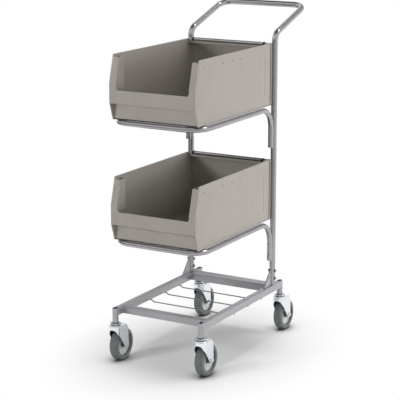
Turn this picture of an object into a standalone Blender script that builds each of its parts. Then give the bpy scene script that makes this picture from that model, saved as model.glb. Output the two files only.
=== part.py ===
"""Service cart with two lift-off storage bins on a bent tube frame and four swivel casters.

The cart stands on the floor at Z = 0 and faces -Y. Sizes are in metres. Places along Y are first counted
from the middle of the wheelbase, and one empty then moves the whole cart so that the world origin lies on
the floor under the middle of its bounding box.
"""
import math

import bmesh
import bpy
from mathutils import Matrix, Vector

# General clearances and counts
GAP = 0.0003                 # running or seating gap between two pieces
OVERRUN = 0.004              # how far a cutter runs past the face it cuts
WELD = 0.00001               # merge distance
TUBE_SIDES_LEVEL = 4         # bevel resolution of a curve tube, 12 sides
BEND_STEPS = 6               # segments in one tube bend
TURN_STEPS = 24              # segments of a wheel or tyre
STEM_STEPS = 16              # segments of a stem, socket or bar
SMALL_STEPS = 10             # segments of a screw, bolt or hole
ARC_STEPS = 4                # segments of a rounded outline corner

# Base frame
TRACK = 0.319                # between the centre lines of the side rails
WHEELBASE = 0.551            # between the front and rear caster stems
RAIL_TOP = 0.1836            # height of the top faces of all four rails
RAIL_HEIGHT = 0.025
RAIL_WIDTH = 0.020
RAIL_WALL = 0.0015
RAIL_CORNER = 0.003          # outer corner radius of the rectangular tube
FRONT_RAIL_SETBACK = 0.021   # front face of the cross rail behind the front sockets
REAR_RAIL_SETBACK = 0.022    # rear face of the cross rail before the rear sockets
REAR_RAIL_DEPTH = 0.045

# Caster sockets
SOCKET_RADIUS = 0.010
SOCKET_WALL = 0.0017
SOCKET_BOTTOM = 0.1347

# Handle frame: posts and push handle from one tube
HANDLE_TUBE_RADIUS = 0.010
HANDLE_TUBE_WALL = 0.0015
POST_SETBACK = 0.0585        # posts before the rear sockets
POST_BEND_HEIGHT = 1.040
HANDLE_HEIGHT = 1.1155       # centre of the grip bar
HANDLE_REACH = 0.226         # grip bar behind the posts
POST_BEND_RADIUS = 0.035
HANDLE_BEND_RADIUS = 0.042

# Post feet: stub tube inside each post, gusset before it, two bolts across it
STUB_HEIGHT = 0.064
STUB_WALL = 0.0015
GUSSET_LENGTH = 0.051
GUSSET_HEIGHT = 0.057
GUSSET_NOSE = 0.003
GUSSET_THICKNESS = 0.004
POST_BOLT_HEIGHTS = (0.023, 0.049)   # above the rail
POST_BOLT_RADIUS = 0.003
POST_BOLT_HEAD_RADIUS = 0.0055
POST_BOLT_HEAD = 0.0040
POST_NUT = 0.0050

# Tray frames: one bent tube under each bin
TRAY_TUBE_RADIUS = 0.009
TRAY_TUBE_WALL = 0.0015
TRAY_WIDTH = 0.316           # between the centre lines of the side runs
TRAY_FRONT = 0.2785          # front run before the middle of the wheelbase
LOWER_TRAY_HEIGHT = 0.406    # centre of the lower tray's run
TRAY_SPACING = 0.390         # upper tray above the lower one
TRAY_CORNER_RADIUS = 0.055
TRAY_LEG_BEND_RADIUS = 0.065
TRAY_LEG_LENGTH = 0.132      # centre of the run down to the open end
TRAY_SCREW_HEIGHTS = (0.0142, 0.0570)   # above the open end
TRAY_SCREW_RADIUS = 0.0022
TRAY_SCREW_HEAD_RADIUS = 0.0042
TRAY_SCREW_HEAD = 0.0028
TRAY_SCREW_GRIP = 0.005      # how far a screw reaches into the post

# Shelf wires under the base frame
WIRE_RADIUS = 0.002
WIRE_COUNT = 4
WIRE_PITCH = 0.0963
WIRE_MIDDLE = -0.0175        # middle of the four wires, from the middle of the wheelbase
WIRE_DROP = 0.0056           # middle stretch below the ends
WIRE_END_INSET = 0.003       # wire end inside the outer face of the rail
WIRE_SLOPE = 0.0075          # length of the sloping stretch

# Storage bins
BIN_WIDTH = 0.310
BIN_HEIGHT = 0.206
BIN_WALL = 0.003
BIN_FLOOR = 0.003
BIN_FRONT = 0.301            # front skirt before the middle of the wheelbase
BIN_FOOT_SLOPE = 0.018       # front foot of the side wall behind the skirt
BIN_SKIRT_BOTTOM = 0.054     # lower edge of the front skirt
BIN_SKIRT_TOP = 0.118        # where the front starts to lean back
BIN_LEAN = 0.024             # how far the front leans back at the rim
BIN_TOE_SETBACK = 0.026      # toe wall under the skirt, behind the skirt
BIN_SILL = 0.0965            # height of the low front
BIN_PILLAR_WIDTH = 0.023     # hollow pillar at each side of the opening
BIN_PILLAR_DEPTH = 0.052
BIN_OPENING_CORNER = 0.010
BIN_PILLAR_DROP = 0.008      # top of the pillar below the rim
BIN_LIP_DEPTH = 0.024        # rear rim that carries the bar
BIN_LIP_HEIGHT = 0.015
BIN_LIP_STEP = 0.007         # front edge of that rim below the top
BIN_GROOVE_WIDTH = 0.0025    # upright groove before the rear flange
BIN_GROOVE_DEPTH = 0.0012
BIN_FLANGE = 0.0085          # rear flange behind that groove
BIN_RIB_SETBACK = 0.052      # faint upright line on the side wall, from the rear
BIN_RIB_BOTTOM = 0.037
BIN_RIB_TOP = 0.173
BIN_RIB_DEPTH = 0.0006

# Carrying bars in the rear rims of the bins
BAR_RADIUS = 0.0063
BAR_LENGTH = 0.260
BAR_SETBACK = 0.0165         # bar before the rear face of the bin
BAR_DROP = 0.002             # centre of the bar below the rim
CAP_LENGTH = 0.007
CAP_RADIUS = 0.0066

# Swivel casters
WHEEL_RADIUS = 0.054
TYRE_WIDTH = 0.030
TYRE_BORE = 0.037
TYRE_SHOULDER = 0.009
CASTER_TRAIL = 0.033
CROWN_TOP = 0.1231
CROWN_THICKNESS = 0.003
FORK_RADIUS = 0.0215         # half width, and rounding of the front
FORK_WALL = 0.0025
FORK_END_RADIUS = 0.0103     # rounding of the cheeks about the axle
FORK_SHOULDER = 0.008        # slope of the rear top corner
FORK_SHOULDER_DROP = 0.015
FORK_LIP = 0.0100            # height of the rounded front
FORK_BROW_SETBACKS = (0.0010, 0.0050, 0.0110)   # lower edge of the front, behind the front face
FORK_BROW_DROPS = (0.0101, 0.0151, 0.0276)      # and below the crown
RACE_RADIUS = 0.019
RACE_HEIGHT = 0.0042
STEM_RADIUS = 0.0080
STEM_TOP_INSET = 0.012       # stem end below the socket top
STEM_FLANGE_RADIUS = 0.0172
STEM_FLANGE = 0.0042
STEM_NECK_RADIUS = 0.0055
RIVET_RADIUS = 0.0080
RIVET_HEIGHT = 0.003
BALL_RING_RADIUS = 0.0150
AXLE_RADIUS = 0.004
AXLE_HEAD_RADIUS = 0.0072
AXLE_HEAD = 0.0040
AXLE_NUT = 0.0055
HUB_RADIUS = 0.0105
WEB_HALF = 0.0065
RIM_HALF = 0.0085
RIM_THICKNESS = 0.0030
WEB_CHAMFER = 0.0015

# Places that follow from the sizes above
HALF_TRACK = TRACK / 2
HALF_BASE = WHEELBASE / 2
RAIL_BOTTOM = RAIL_TOP - RAIL_HEIGHT
POST_Y = HALF_BASE - POST_SETBACK
HANDLE_Y = POST_Y + HANDLE_REACH
TRAY_LEG_Y = POST_Y - HANDLE_TUBE_RADIUS - TRAY_TUBE_RADIUS - GAP
BIN_REAR = POST_Y - HANDLE_TUBE_RADIUS - GAP
TRAY_HEIGHTS = {"lower": LOWER_TRAY_HEIGHT, "upper": LOWER_TRAY_HEIGHT + TRAY_SPACING}
CENTRE_Y = (HANDLE_Y + HANDLE_TUBE_RADIUS - BIN_FRONT) / 2


def clear_scene():
    """Removes every object that the file starts with."""
    for item in list(bpy.data.objects):
        bpy.data.objects.remove(item, do_unlink=True)


def collection(name):
    """A new collection in the scene."""
    made = bpy.data.collections.new(name)
    bpy.context.scene.collection.children.link(made)
    return made


def material(name, colour, roughness, metallic):
    """A Principled material of one colour."""
    made = bpy.data.materials.new(name)
    made.use_nodes = True
    shader = made.node_tree.nodes["Principled BSDF"]
    shader.inputs["Base Color"].default_value = (*colour, 1.0)
    shader.inputs["Roughness"].default_value = roughness
    shader.inputs["Metallic"].default_value = metallic
    made.diffuse_color = (*colour, 1.0)
    return made


def add(name, data, look, parent, place=(0, 0, 0), turn=(0, 0, 0)):
    """Links a named piece to the cart's collection with a look and a parent."""
    made = bpy.data.objects.new(name, data)
    CART.objects.link(made)
    made.parent = parent
    made.location = place
    made.rotation_euler = turn
    if look is not None:
        data.materials.clear()
        data.materials.append(look)
    return made


def add_cutter(name, data, parent, place=(0, 0, 0), turn=(0, 0, 0)):
    """Links a cutter or a joining shape, which is not part of the object."""
    made = bpy.data.objects.new(name, data)
    CUTTERS.objects.link(made)
    made.parent = parent
    made.location = place
    made.rotation_euler = turn
    made.hide_render = True
    made.display_type = "WIRE"
    return made


def combine(piece, other, operation="DIFFERENCE"):
    """Adds a Boolean modifier."""
    mod = piece.modifiers.new(operation.title(), "BOOLEAN")
    mod.operation = operation
    mod.solver = "EXACT"
    mod.object = other
    return mod


def box_mesh(name, low, high):
    """A box between two corners."""
    bm = bmesh.new()
    bmesh.ops.create_cube(bm, size=1)
    middle = (Vector(low) + Vector(high)) / 2
    span = Vector(high) - Vector(low)
    bmesh.ops.transform(bm, matrix=Matrix.Translation(middle) @ Matrix.Diagonal((*span, 1)), verts=bm.verts)
    mesh = bpy.data.meshes.new(name)
    bm.to_mesh(mesh)
    bm.free()
    return mesh


def rods_mesh(name, radius, spans, axis, sides=SMALL_STEPS):
    """Separate rods along X or Y, each from one point over a length."""
    bm = bmesh.new()
    turn = Matrix.Rotation(math.pi / 2, 4, "Y") if axis == "X" else Matrix.Rotation(-math.pi / 2, 4, "X")
    way = Vector((1, 0, 0)) if axis == "X" else Vector((0, 1, 0))
    spin = Matrix.Rotation(math.pi / sides, 4, "Z")
    for start, length in spans:
        place = Matrix.Translation(Vector(start) + way * length / 2) @ turn @ spin
        bmesh.ops.create_cone(bm, cap_ends=True, segments=sides, radius1=radius, radius2=radius,
                              depth=length, matrix=place)
    mesh = bpy.data.meshes.new(name)
    bm.to_mesh(mesh)
    bm.free()
    return mesh


def smooth(mesh, angle=math.radians(40)):
    """Smooth shading with sharp edges kept."""
    mesh.shade_smooth()
    mesh.set_sharp_from_angle(angle=angle)


def outline_mesh(name, points, thickness):
    """A flat outline in XY, extruded along Z to both sides of its plane."""
    curve = bpy.data.curves.new(name, "CURVE")
    curve.dimensions = "2D"
    curve.fill_mode = "BOTH"
    curve.extrude = thickness / 2
    spline = curve.splines.new("POLY")
    spline.points.add(len(points) - 1)
    for point, (x, y) in zip(spline.points, points):
        point.co = (x, y, 0, 1)
    spline.use_cyclic_u = True
    return curve_to_mesh(name, curve)


def curve_to_mesh(name, curve):
    """The closed or open mesh of a curve, with its seams welded."""
    holder = bpy.data.objects.new(name + "_curve", curve)
    bpy.context.scene.collection.objects.link(holder)
    bpy.context.view_layer.update()
    graph = bpy.context.evaluated_depsgraph_get()
    mesh = bpy.data.meshes.new_from_object(holder.evaluated_get(graph))
    mesh.name = name
    bpy.data.objects.remove(holder, do_unlink=True)
    bpy.data.curves.remove(curve)
    bm = bmesh.new()
    bm.from_mesh(mesh)
    bmesh.ops.remove_doubles(bm, verts=bm.verts, dist=WELD)
    bm.to_mesh(mesh)
    bm.free()
    return mesh


def arc(centre, radius, start, end, steps=ARC_STEPS):
    """Points on a circle from one angle to another, in degrees."""
    angles = [math.radians(start + (end - start) * i / steps) for i in range(steps + 1)]
    return [(centre[0] + radius * math.cos(a), centre[1] + radius * math.sin(a)) for a in angles]


def bend_path(corners, radii):
    """Points of a path of straight runs whose inner corners are bends of the given radii."""
    points = [Vector(corners[0])]
    for before, corner, after, radius in zip(corners, corners[1:], corners[2:], radii):
        corner = Vector(corner)
        back = (Vector(before) - corner).normalized()
        ahead = (Vector(after) - corner).normalized()
        half = back.angle(ahead) / 2
        centre = corner + (back + ahead).normalized() * radius / math.sin(half)
        first = corner + back * radius / math.tan(half) - centre
        turn = math.pi - 2 * half
        axis = back.cross(ahead)
        for i in range(BEND_STEPS + 1):
            points.append(centre + Matrix.Rotation(-turn * i / BEND_STEPS, 3, axis) @ first)
    points.append(Vector(corners[-1]))
    return points


def tube_curve(name, points, radius, capped):
    """A round tube or wire along a path."""
    curve = bpy.data.curves.new(name, "CURVE")
    curve.dimensions = "3D"
    curve.bevel_depth = radius
    curve.bevel_resolution = TUBE_SIDES_LEVEL
    curve.use_fill_caps = capped
    spline = curve.splines.new("POLY")
    spline.points.add(len(points) - 1)
    for point, place in zip(spline.points, points):
        point.co = (*place, 1)
    return curve


def hollow_tube(name, points, radius, wall, look, parent):
    """A bent tube with open ends: the swept skin, made thick inwards."""
    mesh = curve_to_mesh(name, tube_curve(name, points, radius, False))
    smooth(mesh)
    piece = add(name, mesh, look, parent)
    shell = piece.modifiers.new("Wall", "SOLIDIFY")
    shell.thickness = wall
    shell.offset = -1
    shell.use_even_offset = True
    return piece


def turned_mesh(name, profile, closed):
    """A profile of radius and height pairs, as a wire for the Screw modifier."""
    bm = bmesh.new()
    verts = [bm.verts.new((r, 0, z)) for r, z in profile]
    pairs = list(zip(verts, verts[1:]))
    if closed:
        pairs.append((verts[-1], verts[0]))
    for a, b in pairs:
        bm.edges.new((a, b))
    mesh = bpy.data.meshes.new(name)
    bm.to_mesh(mesh)
    bm.free()
    return mesh


def turn_profile(piece, steps):
    """Turns a profile about the piece's own Z axis."""
    screw = piece.modifiers.new("Turn", "SCREW")
    screw.axis = "Z"
    screw.angle = math.tau
    screw.steps = steps
    screw.render_steps = steps
    screw.use_merge_vertices = True
    screw.merge_threshold = WELD
    screw.use_smooth_shade = True
    return piece


def rect_tube(name, length, width, height, look, parent, place, turn):
    """A rectangular tube with rounded corners along its own Z axis, open at both ends."""
    corner = min(RAIL_CORNER, width / 2, height / 2)
    outline = []
    for sx, sy, start in ((1, 1, 0), (-1, 1, 90), (-1, -1, 180), (1, -1, 270)):
        centre = (sx * (width / 2 - corner), sy * (height / 2 - corner))
        outline += arc(centre, corner, start, start + 90, 2)
    inside = corner - RAIL_WALL
    bore = []
    for sx, sy, start in ((1, 1, 0), (-1, 1, 90), (-1, -1, 180), (1, -1, 270)):
        centre = (sx * (width / 2 - corner), sy * (height / 2 - corner))
        bore += arc(centre, max(inside, WELD), start, start + 90, 2)
    piece = add(name, outline_mesh(name, outline, length), look, parent, place, turn)
    cutter = add_cutter(name + "_bore", outline_mesh(name + "_bore", bore, length + 2 * OVERRUN), parent,
                        place, turn)
    combine(piece, cutter)
    return piece


def make_base_frame(root, paint):
    """Side rails, cross rails and caster sockets."""
    middle = (RAIL_TOP + RAIL_BOTTOM) / 2
    along_y = (math.pi / 2, 0, 0)
    along_x = (math.pi / 2, 0, math.pi / 2)
    corners = [(sx * HALF_TRACK, sy * HALF_BASE) for sx in (-1, 1) for sy in (-1, 1)]
    bm = bmesh.new()
    for x, y in corners:
        bmesh.ops.create_cone(bm, cap_ends=True, segments=STEM_STEPS, radius1=SOCKET_RADIUS + GAP,
                              radius2=SOCKET_RADIUS + GAP, depth=RAIL_HEIGHT + 2 * OVERRUN,
                              matrix=Matrix.Translation((x, y, middle)))
    mesh = bpy.data.meshes.new("rail_coping")
    bm.to_mesh(mesh)
    bm.free()
    coping = add_cutter("rail_coping", mesh, root)
    for side, sx in (("left", -1), ("right", 1)):
        rail = rect_tube("side_rail_" + side, WHEELBASE, RAIL_WIDTH, RAIL_HEIGHT, paint, root,
                         (sx * HALF_TRACK, 0, middle), along_y)
        combine(rail, coping)
    span = TRACK - RAIL_WIDTH - 2 * GAP
    front = -HALF_BASE + SOCKET_RADIUS + FRONT_RAIL_SETBACK + RAIL_WIDTH / 2
    rect_tube("front_cross_rail", span, RAIL_WIDTH, RAIL_HEIGHT, paint, root, (0, front, middle), along_x)
    rear = HALF_BASE - SOCKET_RADIUS - REAR_RAIL_SETBACK - REAR_RAIL_DEPTH / 2
    rect_tube("rear_cross_rail", span, REAR_RAIL_DEPTH, RAIL_HEIGHT, paint, root, (0, rear, middle), along_x)

    bore = SOCKET_RADIUS - SOCKET_WALL
    profile = [(SOCKET_RADIUS, RAIL_TOP), (SOCKET_RADIUS, SOCKET_BOTTOM), (bore, SOCKET_BOTTOM), (bore, RAIL_TOP)]
    mesh = turned_mesh("caster_socket", profile, True)
    for name, (x, y) in CASTERS.items():
        socket = add("caster_socket_" + name, mesh, paint, root, (x, y, 0))
        turn_profile(socket, STEM_STEPS)


def make_handle_frame(root, paint):
    """Posts and push handle as one bent tube, with its screw and bolt holes."""
    foot = RAIL_TOP + GAP
    corners = [(-HALF_TRACK, POST_Y, foot), (-HALF_TRACK, POST_Y, POST_BEND_HEIGHT),
               (-HALF_TRACK, HANDLE_Y, HANDLE_HEIGHT), (HALF_TRACK, HANDLE_Y, HANDLE_HEIGHT),
               (HALF_TRACK, POST_Y, POST_BEND_HEIGHT), (HALF_TRACK, POST_Y, foot)]
    radii = (POST_BEND_RADIUS, HANDLE_BEND_RADIUS, HANDLE_BEND_RADIUS, POST_BEND_RADIUS)
    frame = hollow_tube("handle_frame", bend_path(corners, radii), HANDLE_TUBE_RADIUS, HANDLE_TUBE_WALL,
                        paint, root)
    reach = HANDLE_TUBE_RADIUS + OVERRUN
    spans = [((sx * HALF_TRACK - reach, POST_Y, RAIL_TOP + z), 2 * reach)
             for sx in (-1, 1) for z in POST_BOLT_HEIGHTS]
    combine(frame, add_cutter("post_bolt_holes", rods_mesh("post_bolt_holes", POST_BOLT_RADIUS + GAP, spans,
                                                           "X"), root))
    spans = [((sx * TRAY_WIDTH / 2, POST_Y - reach, height - TRAY_LEG_LENGTH + z), reach)
             for sx in (-1, 1) for height in TRAY_HEIGHTS.values() for z in TRAY_SCREW_HEIGHTS]
    combine(frame, add_cutter("post_screw_holes", rods_mesh("post_screw_holes", TRAY_SCREW_RADIUS + GAP,
                                                            spans, "Y"), root))


def make_post_feet(root, paint, steel):
    """Stub tubes inside the posts, gussets before them and bolts across them."""
    outer = HANDLE_TUBE_RADIUS - HANDLE_TUBE_WALL - 2 * GAP
    inner = outer - STUB_WALL
    low = RAIL_TOP + GAP
    high = low + STUB_HEIGHT
    stub = turned_mesh("post_stub", [(outer, high), (outer, low), (inner, low), (inner, high)], True)
    nose = POST_Y - HANDLE_TUBE_RADIUS - GUSSET_LENGTH
    heel = POST_Y - HANDLE_TUBE_RADIUS - GAP
    gusset_outline = [(nose, low), (heel, low), (heel, low + GUSSET_HEIGHT),
                      (heel - GUSSET_NOSE, low + GUSSET_HEIGHT), (nose, low + GUSSET_NOSE)]
    gusset = outline_mesh("post_gusset", gusset_outline, GUSSET_THICKNESS)
    upright = (math.pi / 2, 0, math.pi / 2)
    seat = HANDLE_TUBE_RADIUS + GAP
    shank = [((-seat - POST_NUT, 0, 0), 2 * seat + POST_NUT + POST_BOLT_HEAD)]
    head = [((seat, 0, 0), POST_BOLT_HEAD), ((-seat - POST_NUT, 0, 0), POST_NUT)]
    for side, sx in (("left", -1), ("right", 1)):
        x = sx * HALF_TRACK
        tube = turn_profile(add("post_stub_" + side, stub.copy(), steel, root, (x, POST_Y, 0)), SMALL_STEPS)
        spans = [((x - seat, POST_Y, RAIL_TOP + z), 2 * seat) for z in POST_BOLT_HEIGHTS]
        holes = add_cutter("stub_holes_" + side, rods_mesh("stub_holes", POST_BOLT_RADIUS + GAP, spans, "X"),
                           root)
        combine(tube, holes)
        add("post_gusset_" + side, gusset, paint, root, (x, 0, 0), upright)
        for level, z in zip(("lower", "upper"), POST_BOLT_HEIGHTS):
            name = "post_bolt_" + side + "_" + level
            turn = (0, 0, 0 if sx > 0 else math.pi)
            place = (x, POST_Y, RAIL_TOP + z)
            bolt = add(name, rods_mesh(name, POST_BOLT_RADIUS, shank, "X"), steel, root, place, turn)
            ends = add_cutter(name + "_head", rods_mesh(name + "_head", POST_BOLT_HEAD_RADIUS, head, "X", 6),
                              root, place, turn)
            combine(bolt, ends, "UNION")


def make_tray(root, level, height, paint, steel):
    """One bent tray tube with its four screws."""
    half = TRAY_WIDTH / 2
    low = height - TRAY_LEG_LENGTH
    corners = [(-half, TRAY_LEG_Y, low), (-half, TRAY_LEG_Y, height), (-half, -TRAY_FRONT, height),
               (half, -TRAY_FRONT, height), (half, TRAY_LEG_Y, height), (half, TRAY_LEG_Y, low)]
    radii = (TRAY_LEG_BEND_RADIUS, TRAY_CORNER_RADIUS, TRAY_CORNER_RADIUS, TRAY_LEG_BEND_RADIUS)
    tray = hollow_tube("tray_frame_" + level, bend_path(corners, radii), TRAY_TUBE_RADIUS, TRAY_TUBE_WALL,
                       paint, root)
    reach = TRAY_TUBE_RADIUS + OVERRUN
    spans = [((sx * half, TRAY_LEG_Y - reach, low + z), 2 * reach)
             for sx in (-1, 1) for z in TRAY_SCREW_HEIGHTS]
    name = "tray_holes_" + level
    combine(tray, add_cutter(name, rods_mesh(name, TRAY_SCREW_RADIUS + GAP, spans, "Y"), root))

    seat = TRAY_TUBE_RADIUS + GAP
    tip = 2 * TRAY_TUBE_RADIUS + TRAY_SCREW_GRIP
    head = TRAY_SCREW_HEAD_RADIUS
    crown_share = 0.6
    profile = [(0, TRAY_SCREW_HEAD), (head * crown_share, TRAY_SCREW_HEAD), (head, TRAY_SCREW_HEAD / 2), (head, 0),
               (TRAY_SCREW_RADIUS, 0), (TRAY_SCREW_RADIUS, -tip), (0, -tip)]
    mesh = turned_mesh("tray_screw", profile, False)
    for side, sx in (("left", -1), ("right", 1)):
        for row, z in zip(("lower", "upper"), TRAY_SCREW_HEIGHTS):
            name = "tray_screw_" + level + "_" + side + "_" + row
            place = (sx * half, TRAY_LEG_Y - seat, low + z)
            turn_profile(add(name, mesh, steel, root, place, (math.pi / 2, 0, 0)), SMALL_STEPS)


def make_wires(root, steel):
    """The wires of the low shelf: ends under the side rails, middles a little lower."""
    end = HALF_TRACK + RAIL_WIDTH / 2 - WIRE_END_INSET
    inner = HALF_TRACK - RAIL_WIDTH / 2
    top = RAIL_BOTTOM - GAP - WIRE_RADIUS
    low = top - WIRE_DROP
    half = [(end, top), (inner, top), (inner - WIRE_SLOPE, low)]
    path = [(-x, 0, z) for x, z in half] + [(x, 0, z) for x, z in reversed(half)]
    mesh = curve_to_mesh("shelf_wire", tube_curve("shelf_wire", path, WIRE_RADIUS, True))
    smooth(mesh)
    for i in range(WIRE_COUNT):
        y = WIRE_MIDDLE + (i - (WIRE_COUNT - 1) / 2) * WIRE_PITCH
        add("shelf_wire_" + str(i + 1), mesh, steel, root, (0, y, 0))


def make_bin(root, level, floor, plastic, steel, black):
    """One open-front bin with its carrying bar. Its own origin lies on the tray under its middle."""
    holder = bpy.data.objects.new("bin_place_" + level, None)
    CART.objects.link(holder)
    holder.parent = root
    holder.location = (0, 0, floor)
    half = BIN_WIDTH / 2
    front = -BIN_FRONT
    rear = BIN_REAR
    toe = front + BIN_TOE_SETBACK
    top = BIN_HEIGHT + OVERRUN
    side_turn = (math.pi / 2, 0, math.pi / 2)

    def side_cut(name, points, width, place=(0, 0, 0)):
        return add_cutter(name + "_" + level, outline_mesh(name, points, width), holder, place, side_turn)

    def box_cut(name, low, high):
        return add_cutter(name + "_" + level, box_mesh(name, low, high), holder)

    outside = [(front + BIN_FOOT_SLOPE, 0), (rear, 0), (rear, BIN_HEIGHT), (front + BIN_LEAN, BIN_HEIGHT),
               (front, BIN_SKIRT_TOP), (front, BIN_SKIRT_BOTTOM)]
    body = add("bin_" + level, outline_mesh("bin_" + level, outside, BIN_WIDTH), plastic, holder, (0, 0, 0),
               side_turn)

    # Main hollow behind the skirt, with the step of the toe wall
    slope = BIN_LEAN / (BIN_HEIGHT - BIN_SKIRT_TOP)
    face = front + BIN_WALL
    over = face + slope * (top - BIN_SKIRT_TOP)
    ledge = BIN_SKIRT_BOTTOM + BIN_WALL
    hollow = [(toe + BIN_WALL, BIN_FLOOR), (rear - BIN_WALL, BIN_FLOOR), (rear - BIN_WALL, top), (over, top),
              (face, BIN_SKIRT_TOP), (face, ledge), (toe + BIN_WALL, ledge)]
    combine(body, side_cut("bin_hollow", hollow, BIN_WIDTH - 2 * BIN_WALL))

    # Hollow pillars at the two sides of the front, open at the top
    pillar_rear = front + BIN_PILLAR_DEPTH
    pillar_top = BIN_HEIGHT - BIN_PILLAR_DROP
    lean_at_top = slope * (pillar_top - BIN_SKIRT_TOP)
    skin = BIN_WALL / 2
    block = [(toe + skin, skin), (pillar_rear, skin), (pillar_rear, pillar_top),
             (front + skin + lean_at_top, pillar_top), (front + skin, BIN_SKIRT_TOP),
             (front + skin, BIN_SKIRT_BOTTOM + skin), (toe + skin, BIN_SKIRT_BOTTOM + skin)]
    pocket = [(face, ledge), (pillar_rear - BIN_WALL, ledge), (pillar_rear - BIN_WALL, top), (over, top),
              (face, BIN_SKIRT_TOP)]
    inner = half - BIN_PILLAR_WIDTH + GAP
    for side, sx in (("left", -1), ("right", 1)):
        x = sx * (half - skin + inner) / 2
        combine(body, side_cut("bin_pillar_" + side, block, half - skin - inner, (x, 0, 0)), "UNION")
    combine(body, box_cut("bin_pillar_top", (-half + BIN_WALL - GAP, front - OVERRUN, pillar_top - GAP),
                          (half - BIN_WALL + GAP, pillar_rear + OVERRUN, top)))
    for side, sx in (("left", -1), ("right", 1)):
        x = sx * (half - GAP + inner) / 2
        combine(body, side_cut("bin_pocket_" + side, pocket, half - GAP - inner - 2 * BIN_WALL, (x, 0, 0)))

    # Open mouth above the sill
    mouth_half = half - BIN_PILLAR_WIDTH
    mouth = [(mouth_half, top), (-mouth_half, top)]
    mouth += arc((-mouth_half + BIN_OPENING_CORNER, BIN_SILL + BIN_OPENING_CORNER), BIN_OPENING_CORNER, 180, 270)
    mouth += arc((mouth_half - BIN_OPENING_CORNER, BIN_SILL + BIN_OPENING_CORNER), BIN_OPENING_CORNER, 270, 360)
    mouth_depth = BIN_LEAN + BIN_WALL + 2 * OVERRUN
    combine(body, add_cutter("bin_mouth_" + level, outline_mesh("bin_mouth", mouth, mouth_depth), holder,
                             (0, front - OVERRUN + mouth_depth / 2, 0), (math.pi / 2, 0, 0)))

    # Recess under the skirt, between the side walls
    combine(body, box_cut("bin_recess", (-half + BIN_WALL, front - OVERRUN, -OVERRUN),
                          (half - BIN_WALL, toe, BIN_SKIRT_BOTTOM)))

    # Groove before the rear flange and the faint line on each side wall
    groove = rear - BIN_FLANGE
    rib = rear - BIN_RIB_SETBACK
    for side, sx in (("left", -1), ("right", 1)):
        faces = sorted((sx * (half - BIN_GROOVE_DEPTH), sx * (half + OVERRUN)))
        combine(body, box_cut("bin_groove_" + side, (faces[0], groove - BIN_GROOVE_WIDTH, -OVERRUN),
                              (faces[1], groove, top)))
        faces = sorted((sx * (half - BIN_RIB_DEPTH), sx * (half + OVERRUN)))
        combine(body, box_cut("bin_rib_" + side, (faces[0], rib, BIN_RIB_BOTTOM),
                              (faces[1], rib + BIN_GROOVE_WIDTH, BIN_RIB_TOP)))

    # Rear lip, lower at its front, with the trough that the carrying bar lies in
    trough = BAR_LENGTH / 2 + CAP_LENGTH + 2 * GAP
    bar_y = rear - BAR_SETBACK
    bar_z = BIN_HEIGHT - BAR_DROP
    lip = box_cut("bin_lip", (-half + skin, rear - BIN_LIP_DEPTH, BIN_HEIGHT - BIN_LIP_HEIGHT),
                  (half - skin, rear - skin, BIN_HEIGHT - GAP))
    combine(body, lip, "UNION")
    combine(body, box_cut("bin_lip_step", (-trough, rear - BIN_LIP_DEPTH - OVERRUN, BIN_HEIGHT - BIN_LIP_STEP),
                          (trough, bar_y, top)))
    combine(body, add_cutter("bin_trough_" + level,
                             rods_mesh("bin_trough", CAP_RADIUS + GAP, [((-trough, bar_y, bar_z), 2 * trough)],
                                       "X", STEM_STEPS), holder))

    rod = rods_mesh("carry_bar", BAR_RADIUS, [((-BAR_LENGTH / 2, 0, 0), BAR_LENGTH)], "X", STEM_STEPS)
    smooth(rod)
    add("carry_bar_" + level, rod, steel, holder, (0, bar_y, bar_z))
    cap = rods_mesh("bar_cap", CAP_RADIUS, [((-CAP_LENGTH / 2, 0, 0), CAP_LENGTH)], "X", STEM_STEPS)
    smooth(cap)
    for side, sx in (("left", -1), ("right", 1)):
        x = sx * (BAR_LENGTH / 2 + GAP + CAP_LENGTH / 2)
        add("bar_cap_" + level + "_" + side, cap, black, holder, (x, bar_y, bar_z))


def fork_side_outline():
    """Side view of the fork, from the stem: crown, brow, sloping front edge and the cheeks' round ends."""
    fall = math.degrees(math.atan2(CROWN_TOP - FORK_BROW_DROPS[-1] - WHEEL_RADIUS,
                                   CASTER_TRAIL - FORK_END_RADIUS + FORK_RADIUS - FORK_BROW_SETBACKS[-1]))
    brow = [(-FORK_RADIUS + y, CROWN_TOP - z) for y, z in zip(FORK_BROW_SETBACKS, FORK_BROW_DROPS)]
    end = arc((CASTER_TRAIL, WHEEL_RADIUS), FORK_END_RADIUS, 270 - fall, 360, ARC_STEPS + 1)
    rear = CASTER_TRAIL + FORK_END_RADIUS
    return ([(-FORK_RADIUS - OVERRUN, CROWN_TOP), (-FORK_RADIUS - OVERRUN, CROWN_TOP - FORK_LIP)] + brow + end
            + [(rear, CROWN_TOP - FORK_SHOULDER_DROP), (rear - FORK_SHOULDER, CROWN_TOP)])


def fork_plan_outline(radius, rear):
    """Plan of the fork: a round front, then straight sides back to the given place."""
    return arc((0, 0), radius, -180, 0, 3 * ARC_STEPS) + [(radius, rear), (-radius, rear)]


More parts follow.
